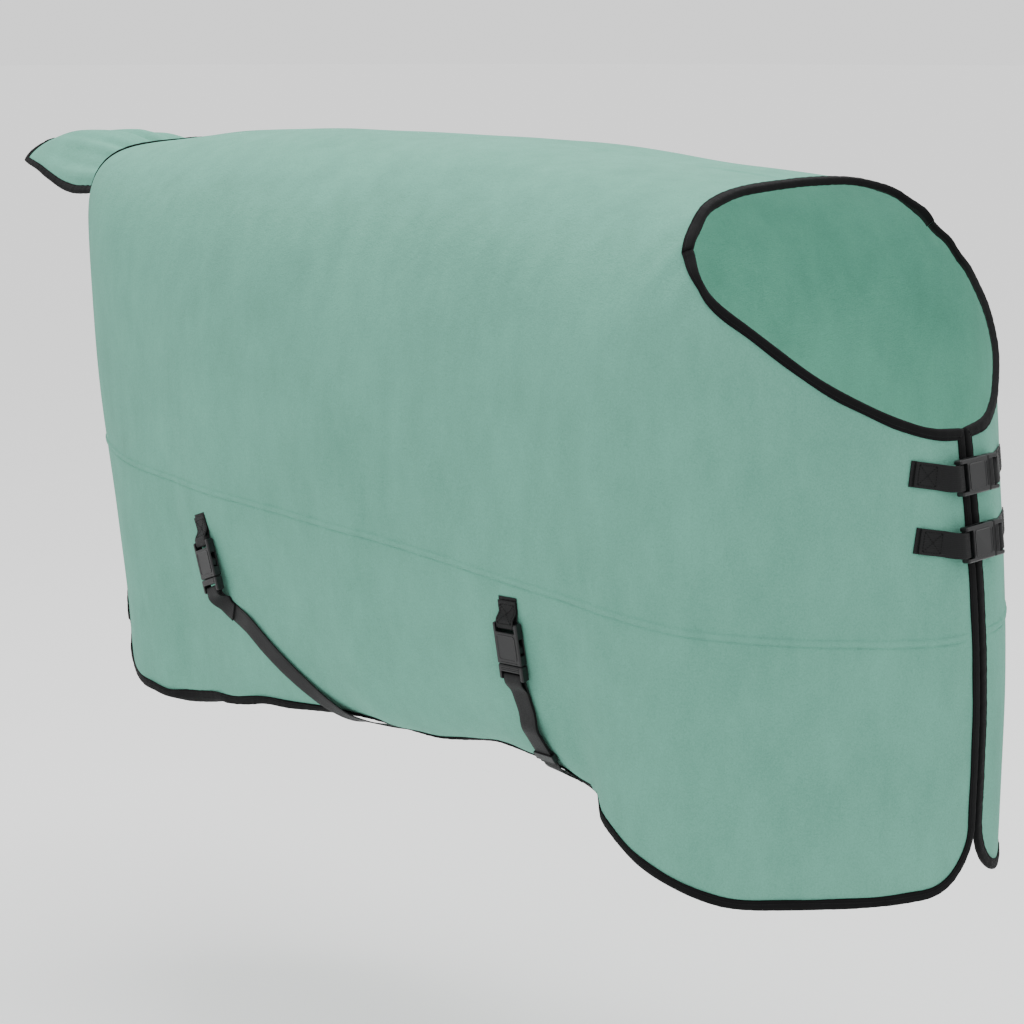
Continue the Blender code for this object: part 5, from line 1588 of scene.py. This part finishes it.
@dataclass
class Buckle:
    """A side-release buckle: its CAD halves with eased edges, and the moulded details on their faces."""

    name: str
    socket_body: str
    plug_body: str
    prongs: tuple[str, str]
    height: float = 0.012
    sink: float = 0.001  # how deep each moulding starts under the face
    rib_half: float = 0.0007

    def block(self, mesh: bmesh.types.BMesh, xs: tuple[float, float], half: float, rise: float) -> None:
        """Adds a plain block that stands on the outer face.

        Args:
            mesh: the mesh to add to.
            xs: where it starts and ends along the strap.
            half: half its width.
            rise: how far it stands up.
        """
        low = Vector((xs[0], -half, self.height - self.sink))
        high = Vector((xs[1], half, self.height + rise))
        middle, size = (low + high) / 2, high - low
        bmesh.ops.create_cube(mesh, size=1, matrix=Matrix.Translation(middle) @ Matrix.Diagonal((*size, 1)))

    def rib(self, mesh: bmesh.types.BMesh, x: float, half: float, rise: float) -> None:
        """Adds a grip rib with rounded edges, across the strap at x."""
        before = set(mesh.verts)
        self.block(mesh, (x - self.rib_half, x + self.rib_half), half, rise)
        edges = [edge for edge in mesh.edges if edge.verts[0] not in before]
        bmesh.ops.bevel(mesh, geom=edges, offset=SMALL_EASE, segments=3, profile=0.5, affect="EDGES",
                        material=-1)

    def panel(self, mesh: bmesh.types.BMesh) -> None:
        """Adds the raised frame with a recessed field of the socket's outer face to an empty mesh."""
        self.block(mesh, (-0.0405, -0.0065), 0.0165, 0.0008)
        upright = [edge for edge in mesh.edges if abs(edge.verts[0].co.z - edge.verts[1].co.z) > 1e-4]
        bmesh.ops.bevel(mesh, geom=upright, offset=0.0045, segments=5, profile=0.5, affect="EDGES",
                        material=-1)
        top = max(mesh.faces, key=lambda face: (face.calc_center_median().z, face.calc_area()))
        rim = list(top.edges)
        bmesh.ops.inset_region(mesh, faces=[top], thickness=0.0024, depth=0.0, use_even_offset=True)
        bmesh.ops.translate(mesh, vec=(0, 0, -0.0012), verts=top.verts[:])
        bmesh.ops.bevel(mesh, geom=rim, offset=0.0005, segments=2, profile=0.5, affect="EDGES", material=-1)

    def details(self) -> tuple[bpy.types.Object, bpy.types.Object]:
        """Makes the moulded details of both halves.

        Returns:
            The socket's and the plug's.
        """
        place = Matrix((*BUCKLE_FRAMES[self.name], (0, 0, 0, 1)))
        made = []
        for part, ribs, half, rise in (("socket", (-0.0030, -0.0428), 0.0150, 0.0006),
                                       ("plug", (0.0028, 0.0052, 0.0076), 0.0165, 0.0007)):
            moulded = bmesh.new()
            if part == "socket":
                self.panel(moulded)
            for x in ribs:
                self.rib(moulded, x, half, rise)
            bmesh.ops.transform(moulded, matrix=place, verts=moulded.verts[:])
            bmesh.ops.recalc_face_normals(moulded, faces=moulded.faces[:])
            name = f"{self.name}_{part}_mouldings"
            made.append(piece(name, settled(moulded, name, smooth=False)))
        return made[0], made[1]

    def dress(self, parts: tuple[bpy.types.Object, bpy.types.Object], wardrobe: Wardrobe) -> None:
        """Finishes the CAD halves and the details, and puts each detail on its half's body."""
        for part in ("socket", "plug"):
            soften(f"{self.name}_{part}", wardrobe, EASE)
        for end in self.prongs:
            soften(f"{self.name}_prong_{end}", wardrobe)
        for obj, body in zip(parts, (self.socket_body, self.plug_body)):
            wardrobe.dress(obj, Slot.BUCKLES)
            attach(obj, body)


@dataclass
class Fastenings:
    """The chest straps, the surcingles and the keeper, with every buckle."""

    straps: tuple[Strap, ...] = (
        Strap("chest_upper_tab", "front_right", StitchBox.END),
        Strap("chest_lower_tab", "front_right", StitchBox.END),
        Strap("chest_upper_webbing", "front_left", StitchBox.START),
        Strap("chest_lower_webbing", "front_left", StitchBox.START),
        Strap("surcingle_front_tab", "rug_body", StitchBox.END),
        Strap("surcingle_rear_tab", "rug_body", StitchBox.END),
        Strap("surcingle_front_anchor", "rug_body", StitchBox.START),
        Strap("surcingle_rear_anchor", "rug_body", StitchBox.START),
        Strap("surcingle_front_webbing", "surcingle_front"),
        Strap("surcingle_rear_webbing", "surcingle_rear"),
    )
    buckles: tuple[Buckle, ...] = (
        Buckle("chest_upper", "front_right", "front_left", ("upper", "lower")),
        Buckle("chest_lower", "front_right", "front_left", ("upper", "lower")),
        Buckle("surcingle_front", "rug_body", "surcingle_front", ("front", "rear")),
        Buckle("surcingle_rear", "rug_body", "surcingle_rear", ("front", "rear")),
    )
    keeper: str = "surcingle_front_slider"

    def build(self, wardrobe: Wardrobe) -> None:
        """Makes, dresses and reports every strap and buckle."""
        for strap in self.straps:
            webbing, threads = strap.build(), strap.stitches()
            strap.dress(webbing, threads, wardrobe)
            log.info("strap %s: %d faces", webbing.name, len(webbing.data.polygons))
        for buckle in self.buckles:
            buckle.dress(buckle.details(), wardrobe)
            log.info("buckle %s", buckle.name)
        soften(self.keeper, wardrobe)


# ---------------------------------------------------------------- studio


@dataclass
class Studio:
    """A pale floor, soft light all round and the camera."""

    floor_height: float = -1.46
    eye: tuple[float, float, float] = (2.305, -2.305, 0.1947)
    heading: tuple[float, float] = (-0.70711, 0.70711)
    pitch: float = math.radians(12.6)
    lens: float = 80.3
    aim: tuple[float, float, float] = (0.0, 0.0, -0.4)
    world_strength: float = 1.25
    lamps: tuple[tuple[str, tuple[float, float, float], float, float], ...] = (
        ("overhead", (-0.3, 0.3, 3.2), 2.4, 150), ("key", (3.0, -3.4, 2.4), 2.4, 10),
        ("fill", (-3.4, -2.6, 1.2), 2.6, 8))
    glow_xs: tuple[float, ...] = (0.42, 0.12, -0.20, -0.52)
    glow_power: float = 1.5
    glow_radius: float = 0.10

    def floor(self) -> bpy.types.Object:
        """Lays the floor.

        Returns:
            The floor, which isn't part of the object.
        """
        sheet = bmesh.new()
        bmesh.ops.create_circle(sheet, cap_ends=True, segments=96, radius=60,
                                matrix=Matrix.Translation((0, 0, self.floor_height)))
        mesh = settled(sheet, "floor", smooth=False)
        floor = piece("floor", mesh)
        nodes = NodeTree("pale_floor")
        place = nodes.place()
        colour = nodes.tones(nodes.noise(place, 3.0, 2.0), (1.0, 1.0, 1.0), (0.0, 0.79), (1.0, 0.81))
        nodes.set(Roughness=0.9, Specular_IOR_Level=0.1, Emission_Color=(1, 1, 1, 1), Emission_Strength=0.30)
        mesh.materials.append(nodes.finish(colour, nodes.bump(nodes.noise(place, 300.0), 0.0001, 0.2)))
        return floor

    @staticmethod
    def hang(data: bpy.types.Light, place: tuple[float, float, float]) -> bpy.types.Object:
        """Hangs a lamp that the camera doesn't see.

        Args:
            data: the light.
            place: where it hangs.

        Returns:
            The lamp.
        """
        lamp = bpy.data.objects.new(data.name, data)
        lamp.location = place
        lamp.visible_camera = False
        bpy.context.scene.collection.objects.link(lamp)
        return lamp

    def light(self, name: str, place: tuple[float, float, float], size: float, power: float) -> None:
        """Hangs a soft light that looks at the rug.

        Args:
            name: its name.
            place: where it hangs.
            size: its side.
            power: its power in watts.
        """
        data = bpy.data.lights.new(name, "AREA")
        data.shape, data.size, data.energy = "SQUARE", size, power
        lamp = self.hang(data, place)
        lamp.rotation_euler = (Vector(self.aim) - lamp.location).to_track_quat("-Z", "Y").to_euler()

    def glow(self, name: str, place: tuple[float, float, float], power: float) -> None:
        """Hangs a faint round lamp under the rug, so that its lining isn't lost in shadow.

        Args:
            name: its name.
            place: where it hangs.
            power: its power in watts.
        """
        data = bpy.data.lights.new(name, "POINT")
        data.energy, data.shadow_soft_size = power, self.glow_radius
        self.hang(data, place)

    def build(self) -> None:
        """Lays the floor, hangs the lights and sets the camera."""
        self.floor()
        world = bpy.data.worlds.new("studio")
        world.use_nodes = True
        world.node_tree.nodes["Background"].inputs["Color"].default_value = (1, 1, 1, 1)
        world.node_tree.nodes["Background"].inputs["Strength"].default_value = self.world_strength
        bpy.context.scene.world = world
        for lamp in self.lamps:
            self.light(*lamp)
        for i, x in enumerate(self.glow_xs):
            self.glow(f"lining_{i}", (x, 0.0, -0.42), self.glow_power)
        data = bpy.data.cameras.new("camera")
        data.lens = self.lens
        camera = bpy.data.objects.new("camera", data)
        camera.location = self.eye
        flat = math.cos(self.pitch)
        look = Vector((self.heading[0] * flat, self.heading[1] * flat, -math.sin(self.pitch)))
        camera.rotation_euler = look.to_track_quat("-Z", "Y").to_euler()
        bpy.context.scene.collection.objects.link(camera)
        bpy.context.scene.camera = camera


def main() -> None:
    """Builds the studio, then the rug piece by piece."""
    logging.basicConfig(level=logging.INFO, format="%(name)s: %(message)s", stream=sys.stdout)
    wardrobe = Wardrobe()
    wardrobe.build()
    Studio().build()
    surface = WornSurface()
    rug = RugCloth(surface)
    cloth = rug.build()
    log.info("rug cloth: %d faces", len(cloth.data.polygons))
    body_tapes = BodyTapes(surface)
    tapes = body_tapes.build()
    body_tapes.dress(tapes, wardrobe)
    rug.dress(cloth, wardrobe, list(tapes.values()))
    for side in Side:
        half = FrontHalf(surface, side)
        pieces = half.build()
        half.dress(*pieces, wardrobe)
        log.info("front half %s: %d faces", side.label, len(pieces[0].data.polygons))
    flap = TailFlap(surface)
    pieces = flap.build()
    flap.dress(*pieces, wardrobe)
    log.info("tail flap: %d faces", len(pieces[0].data.polygons))
    Fastenings().build(wardrobe)
    bpy.context.view_layer.update()


if __name__ == "__main__":
    main()
